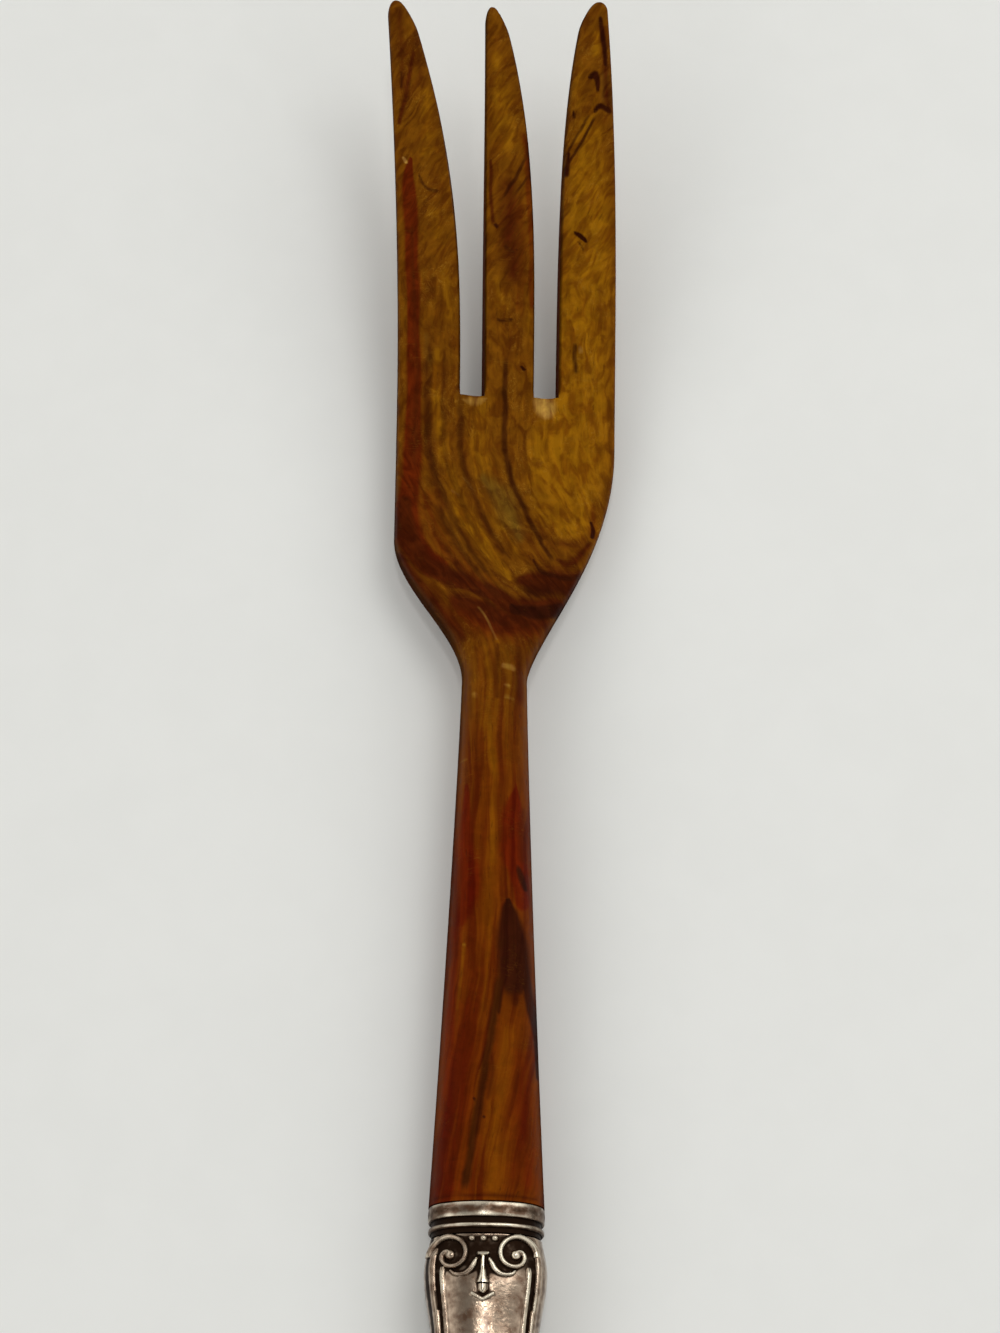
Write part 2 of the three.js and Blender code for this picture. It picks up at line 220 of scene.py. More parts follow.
@dataclass
class Patchwork:
    """Patches of surface gathered into one closed mesh, joined where their edges meet."""

    weld: float = 1e-4
    sharp_angle: float = math.radians(38)
    points: list[Array] = field(default_factory=list)
    quads: list[Array] = field(default_factory=list)
    polygons: list[Array] = field(default_factory=list)
    layers: dict[str, list[Array]] = field(default_factory=dict)
    count: int = 0

    def grid(self, x: Array, y: Array, z: Array, wrap: bool = False, **layers: Array | float) -> Array:
        """Adds a grid of points joined by quads.

        Args:
            x: Places across, rows by columns, or what spreads to that.
            y: Places along.
            z: Heights.
            wrap: Whether the last column meets the first.
            layers: Values kept with the points, the same names in every patch.

        Returns:
            The points' numbers, rows by columns.
        """
        shape = np.broadcast_shapes(np.shape(x), np.shape(y), np.shape(z))
        block = np.stack([np.broadcast_to(part, shape) for part in (x, y, z)], -1).reshape(-1, 3)
        numbers = self.count + np.arange(len(block)).reshape(shape)
        self.points.append(block)
        self.count += len(block)
        for name, values in layers.items():
            self.layers.setdefault(name, []).append(np.broadcast_to(values, shape).ravel())
        n = np.concatenate([numbers, numbers[:, :1]], axis=1) if wrap else numbers
        corners = (n[:-1, :-1], n[1:, :-1], n[1:, 1:], n[:-1, 1:])
        self.quads.append(np.stack(corners, -1).reshape(-1, 4))
        return numbers

    def strip(self, fine: Array, coarse: Array, step: int) -> None:
        """Joins an edge of many points to one that has a point for every step of them."""
        for i in range(len(coarse) - 1):
            near = fine[i * step : (i + 1) * step + 1]
            self.polygons.append(np.concatenate([near, coarse[i : i + 2][::-1]]))

    def places(self) -> Array:
        """All points so far, one row each."""
        return np.concatenate(self.points)

    def layer(self, name: str) -> Array:
        """One layer's values at all points so far."""
        return np.concatenate(self.layers[name])

    def build(self, name: str, layers: dict[str, Array] | None = None) -> bpy.types.Object:
        """Makes the mesh: welds points that coincide, turns its faces outwards and stores the layers.

        Args:
            name: Name of the new object.
            layers: Values for each point, kept as attributes of the mesh, or None for the patches' own.

        Returns:
            The object, at the origin.
        """
        points = self.places()
        kept = layers or {key: self.layer(key) for key in self.layers}
        keys = np.round(points / self.weld).astype(np.int64)
        _, first, number = np.unique(keys, axis=0, return_index=True, return_inverse=True)
        number = number.reshape(-1)
        faces = number[np.concatenate(self.quads)]
        twin = faces == np.roll(faces, -1, axis=1)
        twins = twin.sum(axis=1)
        whole = faces[twins == 0].tolist()
        three_sided = faces[twins == 1][~twin[twins == 1]].reshape(-1, 3).tolist()
        many_sided = [list(dict.fromkeys(number[polygon].tolist())) for polygon in self.polygons]
        mesh = bpy.data.meshes.new(name)
        mesh.from_pydata((points[first] * MM).tolist(), [], whole + three_sided + many_sided)
        self._face_outwards(mesh)
        mesh.polygons.foreach_set("use_smooth", np.ones(len(mesh.polygons), bool))
        mesh.set_sharp_from_angle(angle=self.sharp_angle)
        for layer_name, values in kept.items():
            attribute = mesh.attributes.new(layer_name, "FLOAT", "POINT")
            attribute.data.foreach_set("value", values[first].astype(np.float32))
        return added(name, mesh)

    @staticmethod
    def _face_outwards(mesh: bpy.types.Mesh) -> None:
        """Turns all faces of a closed mesh outwards."""
        work = bmesh.new()
        work.from_mesh(mesh)
        bmesh.ops.recalc_face_normals(work, faces=work.faces)
        work.to_mesh(mesh)
        work.free()


def set_in_place(piece: bpy.types.Object, material: bpy.types.Material, node: str) -> None:
    """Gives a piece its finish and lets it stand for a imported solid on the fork's one body."""
    piece.data.materials.append(material)
    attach(piece, BODY)
    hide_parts(node)
    log.info("%s: %d faces, stands for %s", piece.name, len(piece.data.polygons), node)


# Shader nodes


class NodeSheet:
    """Short ways of laying shader nodes in one tree."""

    def __init__(self, tree: bpy.types.NodeTree) -> None:
        """Keeps the tree that the nodes go into."""
        self.tree = tree

    def add(self, kind: str, **settings: object) -> bpy.types.Node:
        """A new node with the given settings."""
        node = self.tree.nodes.new(kind)
        for name, value in settings.items():
            setattr(node, name, value)
        return node

    def feed(self, socket: Socket, value: object) -> None:
        """Links a socket to another, or sets it to a plain value."""
        if isinstance(value, bpy.types.NodeSocket):
            self.tree.links.new(value, socket)
        elif socket.type == "RGBA":
            socket.default_value = (*value, 1.0)
        else:
            socket.default_value = value

    def feed_all(self, node: bpy.types.Node, values: Sequence[object]) -> Socket:
        """Feeds a node's inputs in their order, and returns its first output."""
        for socket, value in zip(node.inputs, values):
            self.feed(socket, value)
        return node.outputs[0]

    def fill(self, node: bpy.types.Node, values: dict[str, object]) -> None:
        """Feeds some of a node's inputs by their names."""
        for name, value in values.items():
            self.feed(node.inputs[name], value)

    def math(self, operation: str, *values: object, clamp: bool = False) -> Socket:
        """The result of one sum."""
        return self.feed_all(self.add("ShaderNodeMath", operation=operation, use_clamp=clamp), values)

    def weighted(self, *terms: tuple[object, float], base: float = 0.0) -> Socket:
        """A base with some values added, each times its weight."""
        total = base
        for value, weight in terms:
            total = self.math("MULTIPLY_ADD", value, weight, total)
        return total

    def product(self, first: object, *others: object) -> Socket:
        """The product of some values."""
        for value in others:
            first = self.math("MULTIPLY", first, value)
        return first

    def gap(self, value: object, at: float) -> Socket:
        """How far a value lies from a number, to either side."""
        return self.math("ABSOLUTE", self.math("SUBTRACT", value, at))

    def blend(self, share: object, low: object, high: object, mode: str = "MIX") -> Socket:
        """A colour part of the way from low to high."""
        node = self.add("ShaderNodeMix", data_type="RGBA", blend_type=mode)
        for name, value in (("Factor_Float", share), ("A_Color", low), ("B_Color", high)):
            self.feed(next(s for s in node.inputs if s.identifier == name), value)
        return next(s for s in node.outputs if s.identifier == "Result_Color")

    def step(self, value: object, start: float, end: float, low: float = 0.0, high: float = 1.0) -> Socket:
        """A value eased from low to high between start and end."""
        node = self.add("ShaderNodeMapRange", interpolation_type="SMOOTHSTEP")
        return self.feed_all(node, (value, start, end, low, high))

    def noise(self, vector: object, scale: object, detail: float = 3.0, warp: float = 0.0) -> Socket:
        """Soft noise from 0 to 1 at the given place and scale."""
        node = self.add("ShaderNodeTexNoise")
        self.fill(node, {"Vector": vector, "Scale": scale, "Detail": detail, "Distortion": warp})
        return node.outputs["Fac"]

    def vector(self, x: object, y: object, z: object) -> Socket:
        """Three values as one vector."""
        return self.feed_all(self.add("ShaderNodeCombineXYZ"), (x, y, z))

    def split(self, vector: Socket) -> tuple[Socket, Socket, Socket]:
        """A vector's three values."""
        node = self.add("ShaderNodeSeparateXYZ")
        self.feed(node.inputs[0], vector)
        return tuple(node.outputs)

    def stretched(self, vector: Socket, scale: Triple, turn: float = 0.0) -> Socket:
        """A vector turned about the height by an angle and then scaled on each axis."""
        node = self.add("ShaderNodeMapping")
        self.fill(node, {"Vector": vector, "Rotation": (0, 0, turn), "Scale": scale})
        return node.outputs[0]

    def millimetres(self) -> Socket:
        """The place on the piece, in mm."""
        node = self.add("ShaderNodeTexCoord")
        return self.stretched(node.outputs["Object"], (1 / MM, 1 / MM, 1 / MM))

    def attribute(self, name: str) -> Socket:
        """A value kept with the mesh's points."""
        return self.add("ShaderNodeAttribute", attribute_name=name).outputs["Fac"]

    def group(self, tree: bpy.types.NodeTree, **values: object) -> dict[str, Socket]:
        """Places a node group and returns its outputs by name."""
        node = self.add("ShaderNodeGroup", node_tree=tree)
        self.fill(node, values)
        return {socket.name: socket for socket in node.outputs}

    def bump(self, height: Socket, depth: float, strength: float) -> Socket:
        """A normal tilted by a height whose full range is that deep, in mm."""
        node = self.add("ShaderNodeBump")
        self.fill(node, {"Distance": depth * MM, "Strength": strength, "Height": height})
        return node.outputs[0]


class GroupSheet(NodeSheet):
    """A shader node group being laid out, with its named inputs and outputs."""

    def __init__(self, name: str, inputs: dict[str, str], outputs: Sequence[str]) -> None:
        """Makes an empty group.

        Args:
            name: The group's name.
            inputs: The kind of socket for each input's name.
            outputs: The names of its outputs, all of them values.
        """
        super().__init__(bpy.data.node_groups.new(name, "ShaderNodeTree"))
        for socket_name, kind in inputs.items():
            self.tree.interface.new_socket(socket_name, in_out="INPUT", socket_type=kind)
        for socket_name in outputs:
            self.tree.interface.new_socket(socket_name, in_out="OUTPUT", socket_type="NodeSocketFloat")
        self.inputs = self.add("NodeGroupInput").outputs
        self.outputs = self.add("NodeGroupOutput").inputs

    def give(self, **values: Socket) -> bpy.types.NodeTree:
        """Feeds the group's outputs by their names, and returns the finished group."""
        for name, value in values.items():
            self.feed(self.outputs[name], value)
        return self.tree


def mottle_group() -> bpy.types.NodeTree:
    """Patches of two sizes, as of wear or stain: coarse noise, with a finer one for two fifths of it."""
    finer = 3.7
    inputs = {"Place": "NodeSocketVector", "Grain": "NodeSocketFloat"}
    sheet = GroupSheet("mottle", inputs, ("Patches",))
    place, grain = sheet.inputs["Place"], sheet.inputs["Grain"]
    coarse = sheet.noise(place, grain, detail=4.0, warp=0.6)
    fine = sheet.noise(place, sheet.product(grain, finer), detail=5.0)
    mixed = sheet.weighted((coarse, 0.6), (fine, 0.4))
    return sheet.give(Patches=sheet.step(mixed, start=0.36, end=0.64))


def scratch_group() -> bpy.types.NodeTree:
    """Fine scratches in two directions: where stretched noise passes its middle value, here and there."""
    directions = ((0.5, (0.16, 1.9, 1.0)), (-0.9, (0.12, 1.5, 1.0)))
    inputs = {"Place": "NodeSocketVector", "Amount": "NodeSocketFloat"}
    sheet = GroupSheet("scratches", inputs, ("Scratches",))
    place = sheet.inputs["Place"]
    lines = []
    for turn, stretch in directions:
        drawn = sheet.noise(sheet.stretched(place, stretch, turn), scale=1.0, detail=1.0)
        lines.append(sheet.step(sheet.gap(drawn, NOISE_MIDDLE), start=0.0, end=0.012, low=1.0, high=0.0))
    here = sheet.step(sheet.noise(place, scale=0.22, detail=2.0), start=0.5, end=0.66)
    return sheet.give(Scratches=sheet.product(sheet.math("MAXIMUM", *lines), here, sheet.inputs["Amount"]))


def tarnish_group(mottle: bpy.types.NodeTree) -> bpy.types.NodeTree:
    """Tarnish on silver: a brown film in patches, rubbed off the ridges, and black in the recesses and where
    shade is painted on.

    Args:
        mottle: The group that gives the patches.

    Returns:
        The group.
    """
    names = ("Recess", "Polish", "Film")
    inputs = {"Place": "NodeSocketVector"} | {name: "NodeSocketFloat" for name in names}
    sheet = GroupSheet("tarnish", inputs, ("Film", "Rubbed", "Black", "Rough"))
    place = sheet.inputs["Place"]
    patches = sheet.group(mottle, Place=place, Grain=0.33)["Patches"]
    clouds = sheet.step(sheet.noise(place, scale=0.75), start=0.3, end=0.7)
    clouded = sheet.weighted((patches, 0.45), (clouds, 0.65))
    film = sheet.math("MULTIPLY", clouded, sheet.inputs["Film"], clamp=True)
    uneven = sheet.noise(place, scale=0.55, detail=4.0)
    rubbed = sheet.weighted((uneven, 1.6), (sheet.inputs["Polish"], 1.0), base=-0.8)
    ragged = sheet.noise(place, scale=0.9, detail=4.0)
    black = sheet.step(sheet.weighted((sheet.inputs["Recess"], 1.0), (ragged, 0.6)), start=0.5, end=1.05)
    return sheet.give(
        Film=film,
        Rubbed=sheet.step(rubbed, start=0.35, end=1.25),
        Black=black,
        Rough=sheet.weighted((black, 0.3), (film, 0.16)),
    )


def grain_group() -> bpy.types.NodeTree:
    """Wood figure that follows the growth layers: fibres, daubs, strands, flecks and pores.

    All are noise read at the layer's number and, drawn out long, at the place along the wood. A fleck
    shows where a noise passes its middle value.
    """
    inputs = {"Layer": "NodeSocketFloat", "Place": "NodeSocketVector"}
    sheet = GroupSheet("flowing grain", inputs, ("Fibre", "Daub", "Strand", "Fleck", "Pore"))
    _, y, z = sheet.split(sheet.inputs["Place"])
    drawn_out = sheet.stretched(sheet.inputs["Place"], (1.0, 0.45, 1.0))
    layer = sheet.weighted((sheet.inputs["Layer"], 1.0), (sheet.noise(drawn_out, scale=0.16), 2.4))

    def read(across: float, along: float, detail: float, warp: float = 0.0) -> Socket:
        """Noise at so many waves a mm across the layers and along the wood."""
        scaled = [sheet.product(value, scale) for value, scale in ((layer, across), (y, along), (z, along))]
        return sheet.noise(sheet.vector(*scaled), 1.0, detail, warp)

    here = sheet.step(read(across=0.3, along=0.2, detail=2.0), start=0.46, end=0.62)
    off_middle = sheet.gap(read(across=1.1, along=0.7, detail=2.0, warp=1.6), NOISE_MIDDLE)
    flecks = sheet.step(off_middle, start=0.0, end=0.03, low=1.0, high=0.0)
    return sheet.give(
        Fibre=read(across=1.9, along=0.14, detail=5.0),
        Daub=sheet.step(read(across=0.75, along=0.34, detail=5.0, warp=0.9), start=0.32, end=0.68),
        Strand=sheet.step(read(across=0.95, along=0.045, detail=4.0, warp=0.4), start=0.34, end=0.66),
        Fleck=sheet.product(flecks, here),
        Pore=sheet.step(read(across=4.2, along=0.5, detail=2.0), start=0.66, end=0.74),
    )


@dataclass(frozen=True)
class SharedEffects:
    """Node groups that more than one finish is made with."""

    mottle: bpy.types.NodeTree
    scratches: bpy.types.NodeTree
    tarnish: bpy.types.NodeTree
    grain: bpy.types.NodeTree

    @classmethod
    def make(cls) -> "SharedEffects":
        """Builds every group once."""
        mottle = mottle_group()
        return cls(mottle, scratch_group(), tarnish_group(mottle), grain_group())


def new_material(name: str) -> tuple[bpy.types.Material, NodeSheet, bpy.types.Node]:
    """An empty material with its Principled shader.

    Args:
        name: The material's name.

    Returns:
        The material, the sheet for its nodes, and the shader.
    """
    material = bpy.data.materials.new(name)
    material.use_nodes = True
    shader = next(n for n in material.node_tree.nodes if n.type == "BSDF_PRINCIPLED")
    return material, NodeSheet(material.node_tree), shader


# Finishes


class Tone(Enum):
    """Tones that the wood's streaks have, named as the mesh's attributes."""

    HEART = "heart"
    UMBER = "umber"
    RED = "red"
    OCHRE = "ochre"
    OLIVE = "olive"
    PALE = "pale"


@dataclass(frozen=True)
class Shade:
    """A tone's colour on the head, and the redder one that it has down the shank."""

    tone: Tone
    head: Colour
    shank: Colour


@dataclass(frozen=True)
class GrowthLine:
    """A dark line along one growth layer, between two places along the fork."""

    layer: float
    half_width: float
    start: float
    end: float
    strength: float


@dataclass(frozen=True)
class OiledOlive:
    """Olive wood, oiled and worn to a satin, with the colours of its streaks."""

    head: Colour = (0.142, 0.045, 0.0022)
    shank: Colour = (0.124, 0.021, 0.0013)
    light_shades: tuple[Shade, ...] = (
        Shade(Tone.OCHRE, (0.222, 0.083, 0.0024), (0.155, 0.037, 0.0014)),
        Shade(Tone.OLIVE, (0.128, 0.060, 0.0062), (0.09, 0.032, 0.003)),
    )
    dark_shades: tuple[Shade, ...] = (
        Shade(Tone.RED, (0.097, 0.0112, 0.0014), (0.110, 0.0084, 0.0011)),
        Shade(Tone.UMBER, (0.059, 0.0088, 0.0015), (0.058, 0.0078, 0.0014)),
        Shade(Tone.HEART, (0.026, 0.0040, 0.0015), (0.031, 0.0046, 0.002)),
        Shade(Tone.PALE, (0.35, 0.18, 0.036), (0.26, 0.10, 0.010)),
    )
    growth_lines: tuple[GrowthLine, ...] = (
        GrowthLine(0.85, 0.4, 57.6, 88.0, 0.85),
        GrowthLine(-2.9, 0.3, 60.0, 76.0, 0.3),
        GrowthLine(-5.3, 0.42, 58.0, 87.0, 0.45),
        GrowthLine(-7.5, 0.4, 60.0, 88.0, 0.35),
        GrowthLine(-9.7, 0.5, 55.0, 88.0, 0.5),
        GrowthLine(-11.0, 0.6, 51.5, 66.5, 0.55),
        GrowthLine(-13.2, 0.45, 49.5, 60.0, 0.45),
        GrowthLine(0.4, 0.26, 112.8, 121.2, 0.9),
        GrowthLine(-0.65, 0.22, 114.4, 121.4, 0.75),
        GrowthLine(-6.0, 0.26, 109.0, 115.7, 0.8),
        GrowthLine(-4.6, 0.22, 109.4, 113.6, 0.75),
        GrowthLine(-15.0, 0.58, -31.0, -1.5, 0.9),
    )
    fleck_colour: Colour = (0.30, 0.135, 0.014)
    line_colour: Colour = (0.036, 0.007, 0.0016)
    # Painted shade: the dark colour the slots' walls are given, as if in shadow.
    slot_wall_shade: Colour = (0.075, 0.014, 0.004)
    dark_daub: Colour = (0.69, 0.57, 0.63)
    light_daub: Colour = (1.25, 1.33, 1.21)
    dark_strand: Colour = (0.72, 0.50, 0.8)
    light_strand: Colour = (1.22, 1.44, 1.1)
    fibre_span: Pair = (0.28, 0.72)
    light_span: Pair = (0.9, 1.1)
    # Brightness left on the edges and the slots' walls by the painted shade.
    edge_light: float = 0.4
    patch_grain: float = 0.33
    head_flecks: float = 0.42
    shank_flecks: float = 0.04
    scratched: float = 0.14
    scratch_depth: float = 0.8
    pore_shade: float = 0.4
    pore_depth: float = 0.6
    relief_depth: float = 0.06
    relief_strength: float = 0.5
    fray: float = 0.5
    line_waver: float = 0.9
    line_waver_scale: float = 0.3
    line_core: float = 0.3
    line_edge: float = 1.6
    line_fade: float = 1.5
    rough_span: Pair = (0.39, 0.53)
    dry_edge: float = 0.5
    gloss: float = 0.05
    gloss_tint: Colour = (1.0, 0.40, 0.05)

    def material(self, effects: SharedEffects) -> bpy.types.Material:
        """Builds the material.

        Args:
            effects: The shared node groups.

        Returns:
            The material, which reads the head's attributes.
        """
        material, sheet, shader = new_material("oiled_olive_wood")
        place, low, rim = sheet.millimetres(), sheet.attribute("low"), sheet.attribute("rim")
        grain = sheet.group(effects.grain, Layer=sheet.attribute("layer"), Place=place)
        patches = sheet.group(effects.mottle, Place=place, Grain=self.patch_grain)["Patches"]
        scratches = sheet.group(effects.scratches, Place=place, Amount=self.scratched)["Scratches"]
        flecked = sheet.step(low, start=0.0, end=0.8, low=self.head_flecks, high=self.shank_flecks)
        colour = sheet.blend(low, self.head, self.shank)
        colour = self._streaked(sheet, colour, self.light_shades, grain["Fibre"], low)
        colour = sheet.blend(sheet.product(grain["Fleck"], flecked), colour, self.fleck_colour)
        colour = self._streaked(sheet, colour, self.dark_shades, grain["Fibre"], low)
        colour = sheet.blend(self._lines(sheet, place), colour, self.line_colour)
        colour = self._figured(sheet, colour, grain, patches, low)
        colour = sheet.blend(scratches, colour, self.fleck_colour)
        # Painted shade on the slots' walls.
        colour = sheet.blend(sheet.step(rim, start=1.0, end=2.0), colour, self.slot_wall_shade)
        rough = sheet.step(patches, 0.0, 1.0, *self.rough_span)
        dry = sheet.step(rim, start=0.0, end=0.9, low=0.0, high=self.dry_edge)
        sunk = ((grain["Pore"], -self.pore_depth), (scratches, -self.scratch_depth))
        relief = sheet.weighted((grain["Fibre"], 1.0), *sunk)
        inputs = {
            "Base Color": colour,
            "Roughness": sheet.math("ADD", rough, dry, clamp=True),
            "Specular IOR Level": self.gloss,
            "Specular Tint": self.gloss_tint,
            "Normal": sheet.bump(relief, self.relief_depth, self.relief_strength),
        }
        sheet.fill(shader, inputs)
        return material

    def _streaked(
        self, sheet: NodeSheet, colour: Socket, shades: Sequence[Shade], fibre: Socket, low: Socket
    ) -> Socket:
        """Lays the streaks of some tones over a colour.

        Args:
            sheet: Where the nodes go.
            colour: The colour below.
            shades: The tones, the lowest first.
            fibre: The noise that frays the streaks.
            low: How far down the shank a place lies.

        Returns:
            The colour with the streaks.
        """
        for shade in shades:
            tone = sheet.blend(low, shade.head, shade.shank)
            colour = sheet.blend(self._ragged(sheet, shade.tone, fibre), colour, tone)
        return colour

    def _lines(self, sheet: NodeSheet, place: Socket) -> Socket:
        """A mask of the growth lines: near each one's layer, which wavers, and between its ends."""
        along = sheet.split(place)[1]
        waver = (sheet.noise(place, self.line_waver_scale), self.line_waver)
        level = -NOISE_MIDDLE * self.line_waver
        layer = sheet.weighted((sheet.attribute("layer"), 1.0), waver, base=level)
        mask = 0.0
        for line in self.growth_lines:
            core, edge = self.line_core * line.half_width, self.line_edge * line.half_width
            near = sheet.step(sheet.gap(layer, line.layer), core, edge, low=line.strength, high=0.0)
            begun = sheet.step(along, line.start, line.start + self.line_fade)
            ended = sheet.step(along, line.end - self.line_fade, line.end, low=1.0, high=0.0)
            mask = sheet.math("MAXIMUM", mask, sheet.product(near, begun, ended))
        return mask

    def _ragged(self, sheet: NodeSheet, tone: Tone, fibre: Socket) -> Socket:
        """A streak's mask, with an edge frayed along the fibres."""
        mask = sheet.attribute(tone.value)
        frayed = sheet.weighted((mask, 1.0), (fibre, self.fray), base=-NOISE_MIDDLE * self.fray)
        return sheet.product(sheet.step(frayed, start=0.05, end=0.95), sheet.step(mask, start=0.0, end=0.2))

    def _figured(
        self, sheet: NodeSheet, colour: Socket, grain: dict[str, Socket], patches: Socket, low: Socket
    ) -> Socket:
        """Lays the wood's figure over its colours.

        Args:
            sheet: Where the nodes go.
            colour: The colours of the streaks.
            grain: Outputs of the grain group.
            patches: Patches of wear.
            low: How far down the shank a place lies.

        Returns:
            The colours with daubs, fibres, worn patches, painted shade on the edges and slot walls (some
            patina on the edges), and pores.
        """
        daubs = sheet.blend(grain["Daub"], self.dark_daub, self.light_daub)
        strands = sheet.blend(grain["Strand"], self.dark_strand, self.light_strand)
        figure = sheet.blend(sheet.step(low, start=0.0, end=0.5), daubs, strands)
        daubed = sheet.blend(1.0, colour, figure, "MULTIPLY")
        lit = sheet.step(grain["Fibre"], *self.fibre_span, *self.light_span)
        worn = sheet.step(patches, 0.0, 1.0, *self.light_span)
        # Painted shade: the edges and the slots' walls are darkened, with some patina along the edges.
        edge_shade = sheet.step(sheet.attribute("rim"), start=0.0, end=1.0, low=1.0, high=self.edge_light)
        shade = sheet.product(lit, worn, edge_shade)
        shaded = sheet.blend(1.0, daubed, sheet.vector(shade, shade, shade), "MULTIPLY")
        return sheet.blend(sheet.product(grain["Pore"], self.pore_shade), shaded, self.line_colour)


@dataclass(frozen=True)
class OldSilver:
    """Silver with a film of tarnish, bright where it is handled, black in the recesses, and darker where
    shade is painted on.
    """

    name: str
    film: float
    bright: Colour = (0.74, 0.66, 0.51)
    filmed: Colour = (0.50, 0.385, 0.28)
    brown: Colour = (0.14, 0.078, 0.045)
    black: Colour = (0.018, 0.009, 0.005)
    shine: float = 0.4
    roughness: float = 0.15
    scratched: float = 0.5
    scratch_light: float = 0.5
    scratch_depth: float = 0.5
    dent_grain: float = 0.6
    relief_depth: float = 0.03
    relief_strength: float = 0.35

    def material(self, effects: SharedEffects) -> bpy.types.Material:
        """Builds the material.

        Args:
            effects: The shared node groups.

        Returns:
            The material, which reads the piece's recess and polish attributes.
        """
        material, sheet, shader = new_material(self.name)
        place = sheet.millimetres()
        # The two layers read here hold painted shade on the sides as well as tarnish and rubbed wear.
        wear = {name.capitalize(): sheet.attribute(name) for name in ("recess", "polish")}
        tarnish = sheet.group(effects.tarnish, Place=place, Film=self.film, **wear)
        scratches = sheet.group(effects.scratches, Place=place, Amount=self.scratched)["Scratches"]
        dents = sheet.group(effects.mottle, Place=place, Grain=self.dent_grain)["Patches"]
        filmed = sheet.blend(tarnish["Film"], self.filmed, self.brown)
        rubbed = sheet.math("MAXIMUM", tarnish["Rubbed"], sheet.product(scratches, self.scratch_light))
        marked = sheet.blend(rubbed, filmed, self.bright)
        relief = sheet.weighted((dents, 1.0), (scratches, -self.scratch_depth))
        inputs = {
            "Base Color": sheet.blend(tarnish["Black"], marked, self.black),
            "Roughness": sheet.math("ADD", tarnish["Rough"], self.roughness),
            "Metallic": 1.0,
            "Coat Weight": sheet.step(tarnish["Black"], start=0.0, end=0.5, low=self.shine, high=0.0),
            "Coat Roughness": self.roughness,
            "Normal": sheet.bump(relief, self.relief_depth, self.relief_strength),
        }
        sheet.fill(shader, inputs)
        return material


@dataclass(frozen=True)
class PatchyFinish:
    """A dull finish of two colours in soft patches, the lighter ones a little raised."""

    name: str
    light: Colour
    shade: Colour
    roughness: float
    gloss: float
    grain: float
    relief_depth: float
    relief_strength: float = 0.6

    def material(self, effects: SharedEffects) -> bpy.types.Material:
        """Builds the material.

        Args:
            effects: The shared node groups.

        Returns:
            The material, which needs no attribute.
        """
        material, sheet, shader = new_material(self.name)
        patches = sheet.group(effects.mottle, Place=sheet.millimetres(), Grain=self.grain)["Patches"]
        inputs = {
            "Base Color": sheet.blend(patches, self.shade, self.light),
            "Roughness": self.roughness,
            "Specular IOR Level": self.gloss,
            "Normal": sheet.bump(patches, self.relief_depth, self.relief_strength),
        }
        sheet.fill(shader, inputs)
        return material


WOOD = OiledOlive()
COLLAR_SILVER = OldSilver("collar_silver", film=1.7, filmed=(0.31, 0.23, 0.165))
HANDLE_SILVER = OldSilver("handle_silver", film=1.0)
CEMENT = PatchyFinish(
    "set_cement",
    light=(0.55, 0.52, 0.46),
    shade=(0.38, 0.35, 0.30),
    roughness=0.9,
    gloss=0.5,
    grain=0.8,
    relief_depth=0.2,
)
TABLE = PatchyFinish(
    "pale_table",
    light=(0.855, 0.858, 0.828),
    shade=(0.842, 0.845, 0.815),
    roughness=0.85,
    gloss=0.1,
    grain=0.05,
    relief_depth=0.0,
)


# Pieces


@dataclass(frozen=True)
class Places:
    """Places along the fork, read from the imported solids."""

    butt: float
    shell_top: float
    collar: float
    tip: float
    axis_height: float
    fit_gap: float = 0.1

    @classmethod
    def from_frame(cls) -> "Places":
        """Measures the boxes of the solids that meet at each place."""
        shell_low, shell_high = (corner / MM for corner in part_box("handle_front_shell"))
        collar_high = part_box("ferrule_collar")[1] / MM
        head_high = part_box("fork_head")[1] / MM
        return cls(
            butt=shell_low.y,
            shell_top=shell_high.y,
            collar=collar_high.y + cls.fit_gap,
            tip=head_high.y,
            axis_height=shell_low.z - cls.fit_gap / 2,
        )


